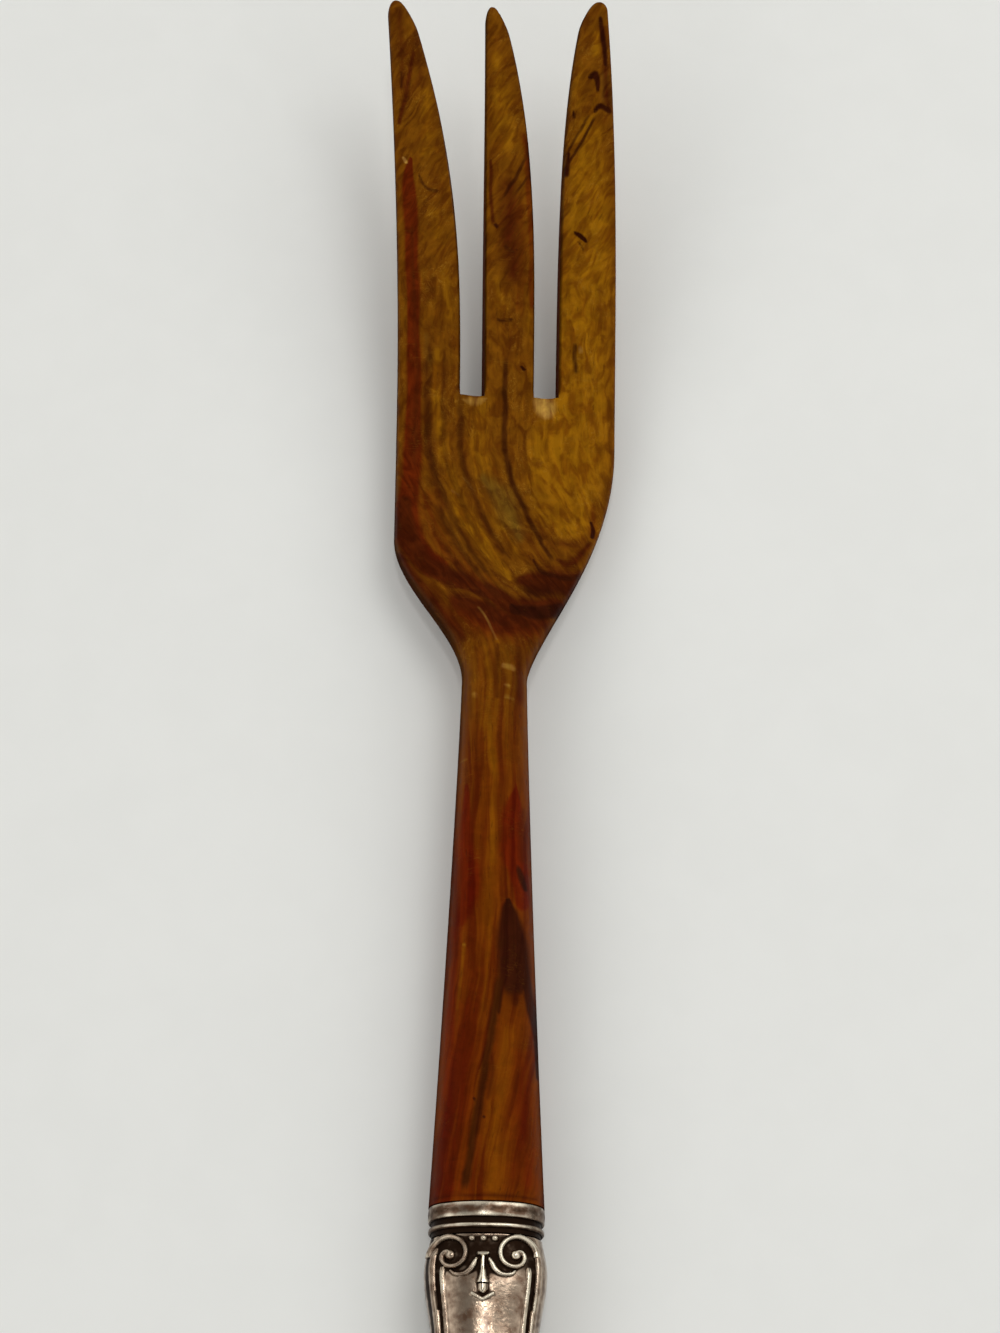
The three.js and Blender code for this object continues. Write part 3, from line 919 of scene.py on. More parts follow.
@dataclass
class Ferrule:
    """The silver collar that holds the wood: a plain band, two grooves and a bead ring between them."""

    places: Places
    width: float = 15.1
    thickness: float = 11.0
    band_height: float = 2.1
    groove_height: float = 0.7
    groove_depth: float = 0.4
    bead_height: float = 0.75
    spigot_length: float = 5.0
    spigot_wall: float = 0.5
    shell_wall: float = 0.6
    corner: float = 0.2
    crown: float = 0.06
    dent: float = 0.03
    dent_length: float = 3.1
    dent_radius: float = 7.0
    rubbed_depth: float = 0.08
    grime: float = 0.55
    # Painted shade on both sides of the oval, where the silver turns away from the light.
    painted_side_shade: float = 0.42
    side_span: Pair = (0.6, 0.95)
    power: float = 2.3
    columns: int = 240
    corner_points: int = 5
    crown_points: int = 9
    groove_points: int = 8
    bead_points: int = 15

    @property
    def stack(self) -> float:
        """Height of band, groove, bead and groove together."""
        return self.band_height + 2 * self.groove_height + self.bead_height

    @property
    def bore_inset(self) -> float:
        """Outer face to the bore that the wood's tenon fills."""
        return self.groove_depth + self.shell_wall + self.spigot_wall

    def hoop(self, name: str, section: Sequence[Pair]) -> bpy.types.Object:
        """Carries a closed section round the oval.

        Args:
            name: Name of the new object.
            section: Points, each as the depth inside the outer face and the drop below the collar's top.

        Returns:
            The object, with its recesses, the painted shade on its sides and its rubbed edges as attributes.
        """
        inset, drop = np.array([*section, section[0]], float).T[:, :, None]
        turn = np.linspace(0, 2 * math.pi, self.columns, endpoint=False)[None, :]
        ring_x, ring_y = self.dent_radius * np.cos(turn), self.dent_radius * np.sin(turn)
        dented = inset + self.dent * ripple(ring_x, ring_y + drop, self.dent_length)
        half_width, half_thick = self.width / 2 - dented, self.thickness / 2 - dented
        across, up = oval(turn, half_width, half_thick, self.power)
        # Both sides of the oval are painted darker as shade: rubbed less bright, and blacker.
        to_side = ramp(np.abs(np.cos(turn)), *self.side_span)
        polish = smooth(1 - np.abs(inset) / self.rubbed_depth) * (1 - self.painted_side_shade * to_side)
        recess = np.maximum(smooth(inset / self.groove_depth), self.grime * (1 - polish))
        recess = np.maximum(recess, self.painted_side_shade * to_side)
        patches = Patchwork()
        y = self.places.collar - drop + 0 * turn
        patches.grid(across, y, self.places.axis_height + up, wrap=True, recess=recess, polish=polish)
        return patches.build(name)

    def collar(self) -> bpy.types.Object:
        """Makes the band with its seat for the bead ring and the spigot inside the handle."""
        gap, r = self.places.fit_gap, self.corner
        quarter = np.linspace(0, math.pi / 2, self.corner_points)
        upper = [(r - r * math.sin(a), gap + r - r * math.cos(a)) for a in quarter]
        middle = [
            (-self.crown * math.sin(math.pi * share), lerp(gap + r, self.band_height - r, share))
            for share in np.linspace(0, 1, self.crown_points)[1:-1]
        ]
        lower = [(r - r * math.cos(a), self.band_height - r + r * math.sin(a)) for a in quarter]
        spigot_inset = self.groove_depth + self.shell_wall
        seat_end = self.stack - gap
        spigot_end = self.stack + self.spigot_length
        seat = np.linspace(self.band_height, seat_end, self.groove_points)
        groove = [(self.groove_depth, drop) for drop in seat]
        hidden = [
            (spigot_inset, seat_end),
            (spigot_inset, spigot_end),
            (self.bore_inset, spigot_end),
            (self.bore_inset, gap),
        ]
        return self.hoop("silver_collar", [*upper, *middle, *lower, *groove, *hidden])

    def bead_ring(self) -> bpy.types.Object:
        """Makes the half-round ring that lies between the grooves."""
        top = self.band_height + self.groove_height
        depth = self.groove_depth - self.places.fit_gap
        section = [
            (depth * (1 - math.sin(turn)), top + self.bead_height * (1 - math.cos(turn)) / 2)
            for turn in np.linspace(0, math.pi, self.bead_points)
        ]
        return self.hoop("silver_bead_ring", section)

    def make(self, silver: bpy.types.Material) -> None:
        """Builds both hoops and sets them in place."""
        set_in_place(self.collar(), silver, "ferrule_collar")
        set_in_place(self.bead_ring(), silver, "collar_bead_ring")


class Side(Enum):
    """The two halves of the hollow handle."""

    FRONT = 1
    BACK = -1


@dataclass
class Ornament:
    """Relief on each shell: paired scrolls, three beads, a hanging husk with leaves, and thread borders.

    Places are mm from the ornament's middle line, and below the top of the shells. The bar, the leaf and the
    chevron have a half width at each point, and the bell and the seed have one at each place down them.
    """

    middle: float = -0.35
    scroll_across: float = 4.25
    scroll_drop: float = 2.85
    scroll_reach: float = 2.7
    scroll_curl: float = 1.75
    scroll_bow: float = 1.35
    scroll_turns: float = 1.3
    ribbon: float = 0.36
    ribbon_narrowing: float = 0.75
    ribbon_height: float = 0.42
    eye_radius: float = 0.62
    bead_spacing: float = 1.48
    bead_drop: float = 0.72
    bead_radius: float = 0.42
    bead_height: float = 0.36
    bar: Line = ((0.0, 2.77, 0.28), (0.6, 2.77, 0.26))
    bar_height: float = 0.46
    bell: tuple[Pair, ...] = ((3.05, 0.25), (4.9, 0.38), (5.75, 0.54), (6.4, 0.8), (6.65, 1.05))
    bell_height: float = 0.46
    seed: tuple[Pair, ...] = ((6.75, 0.6), (7.4, 0.62), (7.8, 0.36), (8.05, 0.04))
    seed_height: float = 0.48
    chevron: Line = ((1.35, 7.95, 0.26), (0.0, 8.75, 0.26))
    chevron_height: float = 0.34
    leaf: Line = (
        (0.85, 3.5, 0.22),
        (1.15, 4.1, 0.36),
        (1.65, 4.9, 0.38),
        (2.5, 5.45, 0.3),
        (3.6, 5.4, 0.24),
        (4.1, 5.0, 0.2),
    )
    leaf_height: float = 0.36
    outer_thread: float = 0.86
    outer_start: Pair = (-1.4, 0.0)
    inner_thread: float = 0.695
    inner_start: Pair = (1.3, 2.4)
    inner_size: float = 0.85
    thread_half: float = 0.36
    thread_height: float = 0.3
    ground_depth: float = 0.16
    ground_start: Pair = (0.1, 0.5)
    ground_end: float = 6.4
    ground_fade: float = 2.2
    border_span: Pair = (-0.06, 0.04)
    between_start: Pair = (3.5, 5.5)
    between_edge: float = 0.03
    bare: float = 0.02
    outside: float = 2.0

    @staticmethod
    def ridge(nearness_: Array, height: float) -> Array:
        """A rounded ridge: a half oval over the line's width."""
        return height * np.sqrt(np.clip(1 - nearness_**2, 0, 1))

    def scroll(self, across: Array, drop: Array) -> Array:
        """A volute: a ribbon whose distance from the eye shrinks by a power of the angle turned.

        Args:
            across: Distance from the ornament's middle line, the same to both sides.
            drop: Distance below the top of the shells.

        Returns:
            Heights of the ribbon and the eye.
        """
        out, down = across - self.scroll_across, drop - self.scroll_drop
        reach = np.hypot(out, down)
        angle = np.mod(np.arctan2(-down, out), 2 * math.pi)
        height = self.ridge(reach / self.eye_radius, self.ribbon_height)
        for turn in (0, 1):
            turned = turn + angle / (2 * math.pi)
            path = self.scroll_reach - self.scroll_curl * np.maximum(turned, 0) ** self.scroll_bow
            width = self.ribbon * lerp(1.0, self.ribbon_narrowing, turned / self.scroll_turns)
            ribbon = self.ridge((reach - path) / width, self.ribbon_height)
            height = np.maximum(height, np.where(turned < self.scroll_turns, ribbon, 0))
        return height

    def hanging(self, across: Array, drop: Array, profile: Sequence[Pair]) -> Array:
        """Share of the half width across a form whose half width is given at a few places down it."""
        top, bottom = profile[0][0], profile[-1][0]
        return np.where((drop > top) & (drop < bottom), across / curve_through(profile)(drop), self.outside)

    def husk(self, across: Array, drop: Array) -> Array:
        """A bellflower that hangs from a bar, with its seed, a chevron below, and a leaf to either side."""
        lines = (
            (self.bar, self.bar_height),
            (self.leaf, self.leaf_height),
            (self.chevron, self.chevron_height),
        )
        forms = ((self.bell, self.bell_height), (self.seed, self.seed_height))
        ridges = [self.ridge(nearness(across, drop, line), height) for line, height in lines]
        ridges += [self.ridge(self.hanging(across, drop, form), height) for form, height in forms]
        return np.maximum.reduce(ridges)

    def beads(self, across: Array, drop: Array) -> Array:
        """Three beads in a row under the collar."""
        nearest = np.minimum(across, np.abs(across - self.bead_spacing))
        return self.ridge(np.hypot(nearest, drop - self.bead_drop) / self.bead_radius, self.bead_height)

    def threads(self, share: Array, half_width: Array, drop: Array) -> Array:
        """Two raised lines along the border.

        Args:
            share: Distance from the middle as a share of the half width.
            half_width: Half width of the handle.
            drop: Distance below the top of the shells.

        Returns:
            Heights of the lines.
        """
        lines = (
            (self.outer_thread, self.thread_half, self.outer_start),
            (self.inner_thread, self.thread_half * self.inner_size, self.inner_start),
        )
        heights = []
        for place, half, (start, end) in lines:
            height = self.ridge((share - place) * half_width / half, self.thread_height)
            heights.append(height * ramp(drop, self.scroll_drop + start, self.scroll_drop + end))
        return np.maximum(*heights)

    def relief(self, x: Array, drop: Array, share: Array, half_width: Array) -> tuple[Array, Array]:
        """Works out the whole ornament.

        Args:
            x: Places across.
            drop: Distance below the top of the shells.
            share: Distance from the middle as a share of the half width.
            half_width: Half width of the handle.

        Returns:
            Height over the plain shell, less where the ground is sunk, and a mask of that ground.
        """
        across = np.abs(x - self.middle)
        forms = [form(across, drop) for form in (self.scroll, self.husk, self.beads)]
        raised = np.maximum.reduce([*forms, self.threads(share, half_width, drop)])
        inside = 1 - ramp(share, *(self.outer_thread + step for step in self.border_span))
        ground = ramp(drop, *self.ground_start)
        ground = ground * (1 - ramp(drop, self.ground_end - self.ground_fade, self.ground_end))
        between = ramp(share, self.inner_thread, self.inner_thread + self.between_edge)
        between = between * ramp(drop, *self.between_start)
        sunk = inside * np.maximum(ground, between) * (raised < self.bare)
        return raised - self.ground_depth * sunk, sunk


@dataclass
class HollowHandle:
    """The silver handle: two thin shells, met along a level seam, with the same ornament on each."""

    places: Places
    ferrule: Ferrule
    ornament: Ornament = field(default_factory=Ornament)
    shoulder: Triple = (4.5, 16.0, 11.2)
    flank: Triple = (13.0, 13.9, 10.2)
    waist: Triple = (40.0, 11.6, 8.6)
    palm_width: float = 19.4
    palm_thickness: float = 12.2
    butt_length: float = 17.0
    power: float = 2.3
    lip: float = 0.25
    seam: float = 0.06
    deep: float = 0.22
    proud: float = 0.14
    # Painted shade on the flanks outside the outer thread, darker on the left than the right, with some
    # tarnish.
    dark_left: float = 0.8
    dark_right: float = 0.4
    # How bright ridges on the left are rubbed, as painted shade.
    left_ridge_light: float = 0.6
    # Share of the flanks' painted shade that is kept at the seam.
    seam_shade_share: float = 0.35
    ground_black: float = 0.72
    inner_black: float = 0.5
    dark_span: Pair = (-1.0, 1.0)
    left_light_span: Pair = (-4.0, 1.0)
    flank_span: Pair = (0.03, 0.08)
    flank_clear: float = 0.1
    seam_span: Pair = (0.95, 0.99)
    blur_rounds: int = 14
    columns: int = 198
    fine_rows: int = 126
    plain_rows: int = 96
    butt_rows: int = 30
    fine_length: float = 14.5
    inner_step: int = 6

    def __post_init__(self) -> None:
        """Works out the curves that the handle's width and thickness follow."""
        self.length = self.places.shell_top - self.places.butt
        self.palm_drop = self.length - self.butt_length
        mouth = 2 * (self.ferrule.groove_depth - self.places.fit_gap)
        sections = (
            (0.0, self.ferrule.width - mouth, self.ferrule.thickness - mouth),
            self.shoulder,
            self.flank,
            self.waist,
            (self.palm_drop, self.palm_width, self.palm_thickness),
            (self.length, self.palm_width, self.palm_thickness),
        )
        self.width = curve_through([(drop, width) for drop, width, _ in sections])
        self.thickness = curve_through([(drop, thickness) for drop, _, thickness in sections])

    def drops(self) -> Array:
        """Places of the rows: close together on the ornament, and bunched where the butt closes."""
        fine = np.linspace(0, self.fine_length, self.fine_rows + 1)
        plain = np.linspace(self.fine_length, self.palm_drop, self.plain_rows + 1)[1:]
        turn = np.linspace(0, math.pi / 2, self.butt_rows + 1)[1:]
        return np.concatenate([fine, plain, self.palm_drop + self.butt_length * np.sin(turn)])

    def into_butt(self, drop: Array) -> Array:
        """How far places lie along the round butt, as a share of its length."""
        return np.clip((drop - self.palm_drop) / self.butt_length, 0, 1)

    def surface(self, turn: Array, drop: Array, inset: float) -> tuple[Array, Array]:
        """Points of the handle's form, set in by the inset and drawn in past the palm as an ellipse.

        Args:
            turn: Angles round the handle, one row.
            drop: Places below the top of the shells, one column.
            inset: How far the form lies inside the outer face.

        Returns:
            Places across and heights over the axis.
        """
        closing = np.sqrt(1 - self.into_butt(drop) ** 2)
        half_width = (self.width(drop) / 2 - inset) * closing
        half_thick = (self.thickness(drop) / 2 - inset) * closing
        return oval(turn, half_width, half_thick, self.power)

    def wear(self, across: Array, share: Array, height: Array, ground: Array) -> tuple[Array, Array]:
        """Works out where the silver is black, where shade is painted on its flanks, and where it is rubbed
        bright.

        Args:
            across: Places across.
            share: Distance from the middle as a share of the half width.
            height: Heights of the ornament.
            ground: A mask of the sunk ground.

        Returns:
            How deep in a hollow or in painted shade each place lies, and how rubbed it is, less on the left
            as painted shade.
        """
        raised = height - self._blurred(height)
        # Painted shade on the flanks, darker on the left, with some tarnish: kept off the raised parts and
        # eased at the seam.
        side_shade_level = lerp(self.dark_left, self.dark_right, ramp(across, *self.dark_span))
        flank = ramp(share, *(self.ornament.outer_thread + step for step in self.flank_span))
        flank = flank * lerp(1.0, self.seam_shade_share, ramp(share, *self.seam_span))
        recess = np.maximum(smooth(-raised / self.deep), self.ground_black * ground)
        recess = np.maximum(recess, side_shade_level * flank * ramp(raised, self.flank_clear, 0.0))
        # Raised parts are rubbed bright, and dimmed on the left as painted shade.
        polish = smooth(raised / self.proud) * lerp(self.left_ridge_light, 1.0, ramp(across, *self.left_light_span))
        return recess, polish

    def shell(self, side: Side) -> Patchwork:
        """Works out one shell: its outer face with the ornament, its inner face and the rim between.

        Args:
            side: Which half of the handle.

        Returns:
            The patches of the shell, with its recesses, its painted shade and its rubbed ridges as layers.
        """
        turn = np.linspace(0, math.pi, self.columns + 1)[None, :]
        drop = self.drops()[:, None]
        rounded = self.lip - np.sqrt(self.lip**2 - np.clip(self.lip - drop, 0, None) ** 2)
        across, up = self.surface(turn, drop, 0.0)
        lip_across, lip_up = self.surface(turn, drop, 1.0)
        across, up = lerp(across, lip_across, rounded), lerp(up, lip_up, rounded)
        half_width = self.width(drop) / 2
        share = np.hypot(across / half_width, self.into_butt(drop))
        height, ground = self.ornament.relief(across, drop, share, half_width)
        x, y, z = self._pushed_out(across, self.places.shell_top - drop + 0 * turn, up, height)
        z = np.maximum(z, self.seam / 2)
        recess, polish = self.wear(across, share, height, ground)
        lift = self.places.axis_height
        patches = Patchwork()
        outer = patches.grid(x, y, np.maximum(lift + side.value * z, 0), recess=recess, polish=polish)
        inner_drop = drop[:: self.inner_step] * (1 - self.ferrule.shell_wall / self.length)
        inner_turn = turn[:, :: self.inner_step]
        inner_x, inner_up = self.surface(inner_turn, inner_drop, self.ferrule.shell_wall)
        inner_z = lift + side.value * np.maximum(inner_up, self.seam / 2)
        inner_y = self.places.shell_top - inner_drop + 0 * inner_turn
        inner = patches.grid(inner_x, inner_y, inner_z, recess=self.inner_black, polish=0.0)
        patches.strip(outer[0], inner[0], self.inner_step)
        patches.strip(outer[:, 0], inner[:, 0], self.inner_step)
        patches.strip(outer[:, -1], inner[:, -1], self.inner_step)
        return patches

    @staticmethod
    def _pushed_out(x: Array, y: Array, z: Array, height: Array) -> tuple[Array, Array, Array]:
        """Moves a grid's points along its own normals, which are the cross products of its two directions."""
        grid = np.stack([x, y, z], -1)
        normal = np.cross(np.gradient(grid, axis=0), np.gradient(grid, axis=1))
        length = np.linalg.norm(normal, axis=-1, keepdims=True)
        outwards = normal / np.maximum(length, TINY) * np.sign(np.median(normal[..., 2]))
        moved = grid + outwards * height[..., None]
        return moved[..., 0], moved[..., 1], moved[..., 2]

    def _blurred(self, height: Array) -> Array:
        """Heights averaged over their surroundings: each round blurs the rows, and then the columns."""
        for _ in range(2 * self.blur_rounds):
            padded = np.pad(height, ((1, 1), (0, 0)), mode="edge")
            height = ((padded[:-2] + padded[1:-1] + padded[2:]) / 3).T
        return height

    def make(self, silver: bpy.types.Material) -> None:
        """Builds both shells and sets them in place."""
        for side in Side:
            name = side.name.lower()
            piece = self.shell(side).build(f"silver_{name}_shell")
            set_in_place(piece, silver, f"handle_{name}_shell")


@dataclass(frozen=True)
class Streak:
    """A streak in the wood, drawn as a line of varying width seen from the front."""

    strength: float
    softness: float
    points: Line

    def field(self, x: Array, y: Array) -> Array:
        """How strongly the streak shows at each place, and below 0 the further outside its soft edge.

        It falls straight from the middle to well outside, so that it stays true between a mesh's points.
        """
        lowest, highest = -1, 1.2
        inside = 1 + self.softness - nearness(x, y, self.points)
        return self.strength * np.clip(inside / (2 * self.softness), lowest, highest)


# Streaks through the wood: strength, softness, and the x, y and half width of each point
STREAKS: dict[Tone, tuple[Streak, ...]] = {
    Tone.HEART: (
        # On the shank: a flame that forks into a thin line, and a line along the right edge
        Streak(0.9, 0.3, (
            (2.1, 8.8, 0.15), (2.25, 7.6, 0.8), (2.5, 6.2, 1.4),
            (2.95, 2.4, 2.1), (3.3, -0.8, 2.3), (3.4, -2.6, 1.9),
        )),
        Streak(0.7, 0.6, ((1.9, -1, 0.9), (1.5, -3.5, 0.5), (1.2, -6.8, 0.3))),
        Streak(0.95, 0.45, (
            (4.3, 1.5, 0.5), (4.8, -1.5, 0.7), (5.2, -4.5, 0.75),
            (5.9, -7.6, 0.6), (6.2, -11, 0.4), (6.4, -15, 0.2),
        )),
        Streak(0.75, 0.45, ((3.6, 13.2, 0.35), (4.0, 11.8, 0.5), (4.5, 10.2, 0.35))),
        # On the heel of the bowl
        Streak(1.15, 0.45, (
            (2.3, 50.8, 0.4), (3, 50.1, 0.7), (5, 50, 1.1),
            (7.6, 50.4, 0.9), (8.8, 51.4, 0.4),
        )),
        Streak(0.6, 0.9, ((4.6, 53.2, 1.3), (8.6, 53.3, 1.3))),
        Streak(0.6, 0.45, ((5, 58.3, 0.25), (6.3, 56.4, 0.35), (8.4, 55.6, 0.45), (11, 56.3, 0.5))),
        # Knots and lines on the tines
        Streak(0.8, 0.45, (
            (13.3, 133.7, 0.3), (13.7, 130.8, 0.4),
            (13.9, 129.4, 0.36), (14.1, 127.3, 0.3),
        )),
        Streak(0.9, 0.45, ((12.0, 125.8, 0.3), (12.7, 126, 0.5), (13.1, 125, 0.42), (13.2, 123.9, 0.25))),
        Streak(0.85, 0.45, ((12.9, 121.2, 0.35), (13.5, 121.7, 0.4), (14.6, 121.3, 0.42))),
        Streak(0.8, 0.45, ((9.3, 115.6, 0.3), (8.9, 113.1, 0.5))),
        Streak(0.5, 0.45, ((-11.4, 111.2, 0.24), (-10.6, 110, 0.3), (-8.9, 109.8, 0.3))),
        Streak(0.5, 0.45, ((-14.2, 124.6, 0.24), (-14.1, 122.8, 0.24))),
        Streak(0.6, 0.45, ((-0.2, 93.0, 0.24), (0.9, 92.6, 0.3), (1.9, 93.1, 0.22))),
        Streak(0.55, 0.45, ((0.2, 103.9, 0.25), (1.2, 102.2, 0.3), (2.1, 102.5, 0.25))),
    ),
    Tone.UMBER: (
        # On the shank: round the flame, down the middle, and at the collar
        Streak(0.85, 0.8, ((3, -1, 1.8), (3.2, -3.6, 1.4), (3.4, -5.6, 0.5))),
        Streak(0.6, 0.7, ((0.3, -12.5, 0.3), (0.5, -15, 0.5), (-0.1, -18, 0.45))),
        Streak(0.5, 0.7, ((4.1, 21.5, 0.4), (4.0, 19, 0.7), (4.1, 14.5, 0.6))),
        Streak(0.55, 0.45, ((-6.5, -31.2, 0.45), (0, -31.4, 0.35), (6.5, -31.2, 0.45))),
        # On the heel of the bowl
        Streak(1.05, 0.6, ((3.6, 55, 0.9), (6.2, 54.8, 1.9), (9, 54.9, 2.1), (11, 56, 1.2))),
        Streak(0.7, 0.6, ((8.4, 58.2, 0.5), (10, 57.9, 0.8), (11.6, 59.4, 0.7), (12.8, 61, 0.4))),
        Streak(1.1, 0.5, (
            (-12.6, 66, 0.9), (-12.2, 61, 1.5), (-10, 57.2, 1.6),
            (-6.5, 54.9, 1.4), (-2, 53.4, 1.3), (2.3, 50.8, 1.3),
        )),
        Streak(1.0, 0.8, ((-5, 51.2, 1.6), (-1, 49.6, 2.0), (3.4, 48.4, 1.7), (6.4, 48.6, 1.2))),
        Streak(0.5, 0.8, ((3.2, 45, 0.8), (3.4, 41, 0.9), (3.3, 37, 0.7))),
        Streak(0.5, 0.6, ((0.3, 44.5, 0.4), (0.3, 40, 0.55), (0.4, 36.8, 0.4))),
        Streak(0.85, 0.9, ((-13, 58, 0.9), (-10.4, 53.6, 1.4), (-7.4, 50, 1.3), (-4.6, 46, 1.1))),
        Streak(0.9, 0.7, ((3.8, 51.4, 0.9), (9, 51.6, 1.2))),
        Streak(0.5, 0.8, ((6.4, 57.2, 0.5), (9, 57, 0.7))),
        Streak(0.5, 0.8, ((8, 61.2, 0.8), (11.5, 60.8, 1.0))),
        Streak(0.45, 0.8, ((2.2, 47, 0.9), (4.4, 46, 0.9))),
        # Between the growth lines of the bowl
        Streak(0.6, 0.9, ((-10.2, 86, 0.6), (-9.9, 78, 0.8), (-8.9, 71, 0.9), (-7.4, 66, 0.8))),
        Streak(0.5, 0.9, ((-5.4, 80, 0.5), (-4.6, 72, 0.7), (-2.6, 66, 0.6), (0.4, 60, 0.5))),
        Streak(0.4, 0.9, ((6.2, 69, 1.2), (7.8, 65.6, 1.2))),
        Streak(0.5, 0.8, ((5.2, 64.5, 0.3), (7, 61.4, 0.6), (9, 59, 0.6))),
        Streak(0.4, 0.8, ((2.4, 66.5, 0.3), (3.8, 63, 0.4), (5.6, 59.6, 0.5), (7.4, 57.4, 0.6))),
        # Knots and lines on the tines
        Streak(0.7, 0.8, ((13.5, 133, 0.4), (14.1, 127, 0.6), (14.6, 121.5, 0.6))),
        Streak(0.7, 0.45, (
            (-12.4, 127.5, 0.3), (-13.2, 122.6, 0.5),
            (-13.8, 120.3, 0.45), (-14.3, 117.9, 0.3),
        )),
        Streak(0.65, 0.9, ((-14.4, 132.6, 0.7), (-14.2, 127, 0.9), (-13.8, 123, 0.7))),
        Streak(0.45, 0.8, ((-12.2, 130, 0.5), (-11.6, 126, 0.8), (-11.4, 123.5, 0.6))),
        Streak(0.65, 0.45, ((-1.5, 114.4, 0.28), (-1.4, 112.2, 0.32), (-1.6, 110, 0.28), (-1.2, 106, 0.3))),
        Streak(0.7, 0.45, ((3.3, 117.4, 0.3), (3.7, 115, 0.5), (4.0, 112.4, 0.4))),
        Streak(0.85, 0.9, ((1.0, 111, 1.2), (1.1, 106, 1.7), (1.8, 99, 1.3))),
        Streak(0.4, 0.7, ((11.7, 130.4, 0.5), (11.6, 129.6, 0.5))),
        Streak(0.4, 0.8, ((13.1, 117.5, 0.4), (13.3, 113, 0.5))),
        Streak(0.4, 0.8, ((13.7, 97.5, 0.5), (13.9, 92, 0.8))),
        Streak(0.4, 0.9, ((-9.8, 99, 0.7), (-9.8, 95.4, 0.6))),
        Streak(0.45, 0.9, ((-9.7, 91.5, 0.8), (-9.6, 87.2, 0.8))),
        Streak(0.45, 0.9, ((1.3, 91.2, 0.7), (1.4, 87.4, 0.7))),
        # Beside the red edge of the left tine and the bowl
        Streak(0.6, 0.8, ((-12.3, 104, 0.3), (-11.6, 92, 0.4), (-11.3, 82, 0.6), (-11.5, 72, 0.8))),
    ),
    Tone.RED: (
        # On the heel of the bowl
        Streak(0.8, 0.9, ((-4.4, 49.6, 1.6), (0, 47.6, 2.2), (4.6, 47, 1.6))),
        # Along the left edge of tine and bowl, on the middle tine, and down both sides of the shank
        Streak(1.2, 0.45, (
            (-12.7, 113.6, 0.2), (-12.9, 111, 0.6), (-12.6, 107, 0.9),
            (-12.2, 100, 0.9), (-11.8, 89, 0.85),
        )),
        Streak(1.2, 0.45, (
            (-11.8, 89, 0.85), (-11.6, 78, 1.0), (-11.8, 70, 1.3),
            (-12.2, 64, 1.7), (-11.4, 60, 1.8), (-8, 56.4, 1.4),
        )),
        Streak(0.5, 0.8, ((-9.8, 66.5, 1.4), (-8.4, 62, 1.8), (-6, 57.8, 1.8), (-1, 54, 1.4))),
        Streak(0.5, 0.45, ((3.0, 118, 0.5), (3.9, 109.2, 0.6), (4.2, 101.2, 0.5), (4.3, 95, 0.35))),
        Streak(0.4, 0.9, ((2.6, 108, 1.3), (3.0, 101, 1.5), (2.6, 95, 1.0))),
        Streak(0.45, 0.7, ((13.3, 67, 0.4), (13.3, 62.4, 0.6))),
        Streak(0.9, 0.3, (
            (3.05, 24.5, 0.1), (2.9, 22.4, 0.8), (2.7, 20, 1.55),
            (2.8, 15.5, 1.75), (3.5, 12.5, 1.4), (4.2, 8.5, 1.0),
        )),
        Streak(0.85, 0.45, (
            (-3.5, 24.5, 0.3), (-3.4, 20, 0.8), (-3.5, 15.4, 1.2),
            (-3.1, 12, 1.7), (-3.0, 9, 1.5), (-4, 5.5, 0.8),
        )),
        Streak(0.55, 0.45, (
            (-4.4, 5, 0.7), (-5, -4, 0.9), (-5.2, -11, 1.1),
            (-5.1, -25, 1.3), (-5.2, -31, 1.6),
        )),
        Streak(0.45, 0.9, ((-3.4, -6, 1.4), (-3.4, -18, 1.5), (-4, -30, 1.6))),
        Streak(0.5, 0.8, ((4.2, -12, 1.0), (4.6, -20, 1.3), (5.2, -29, 1.7))),
    ),
    Tone.OCHRE: (
        # Right side of the bowl, bands between the growth lines, tines, and the middle of the shank
        Streak(0.95, 0.35, ((11.4, 84, 3.8), (9.6, 75, 5.2), (9.4, 67, 4.0), (10.2, 64, 2.2))),
        Streak(0.85, 0.4, ((12, 119, 2.0), (12, 104, 3.2), (11.6, 92, 3.6), (11.4, 84, 3.8))),
        Streak(0.7, 0.45, ((-5, 65.4, 1.0), (-1.7, 60.6, 1.1), (0.9, 56.8, 0.8), (1.8, 55.2, 0.4))),
        Streak(0.55, 0.6, ((-8.7, 88, 0.6), (-8.4, 80, 0.7), (-7.2, 73, 0.9), (-5, 65.4, 1.0))),
        Streak(0.55, 0.8, ((-2.2, 81, 1.3), (-2.6, 74, 1.4), (-0.6, 66, 0.9), (2.6, 60, 0.6))),
        Streak(0.6, 0.7, ((-10.7, 122.5, 0.8), (-10.3, 119.9, 1.0), (-10.3, 117, 0.9))),
        Streak(0.5, 0.7, ((-10.7, 114.5, 0.7), (-9.4, 115.2, 0.5))),
        Streak(0.5, 0.8, ((-9.4, 106.5, 0.9), (-8.6, 103.5, 0.8))),
        Streak(0.55, 0.8, ((-7.5, 98.5, 0.8), (-6.9, 92.5, 0.8))),
        Streak(0.65, 0.7, ((-0.9, 128, 0.8), (-0.2, 122, 1.3), (0.4, 117, 1.5))),
        Streak(0.5, 0.8, ((-0.4, 98, 0.8), (0.1, 94.6, 0.9))),
        Streak(0.5, 0.8, ((3.9, 95, 0.4), (4.0, 91.5, 0.6))),
        Streak(0.7, 0.7, ((12.9, 131.6, 0.5), (12.8, 128.8, 0.6))),
        Streak(0.7, 0.6, ((13.2, 123.4, 0.28), (12.5, 121.9, 0.3), (11.8, 120.3, 0.3))),
        Streak(0.55, 0.8, ((10.6, 127, 0.6), (10.3, 124.4, 1.0), (10.6, 121.6, 0.8))),
        Streak(0.6, 0.45, ((0.2, 45.3, 0.3), (0.5, 43, 0.35), (0.4, 36.4, 0.4), (0.1, 34.4, 0.5))),
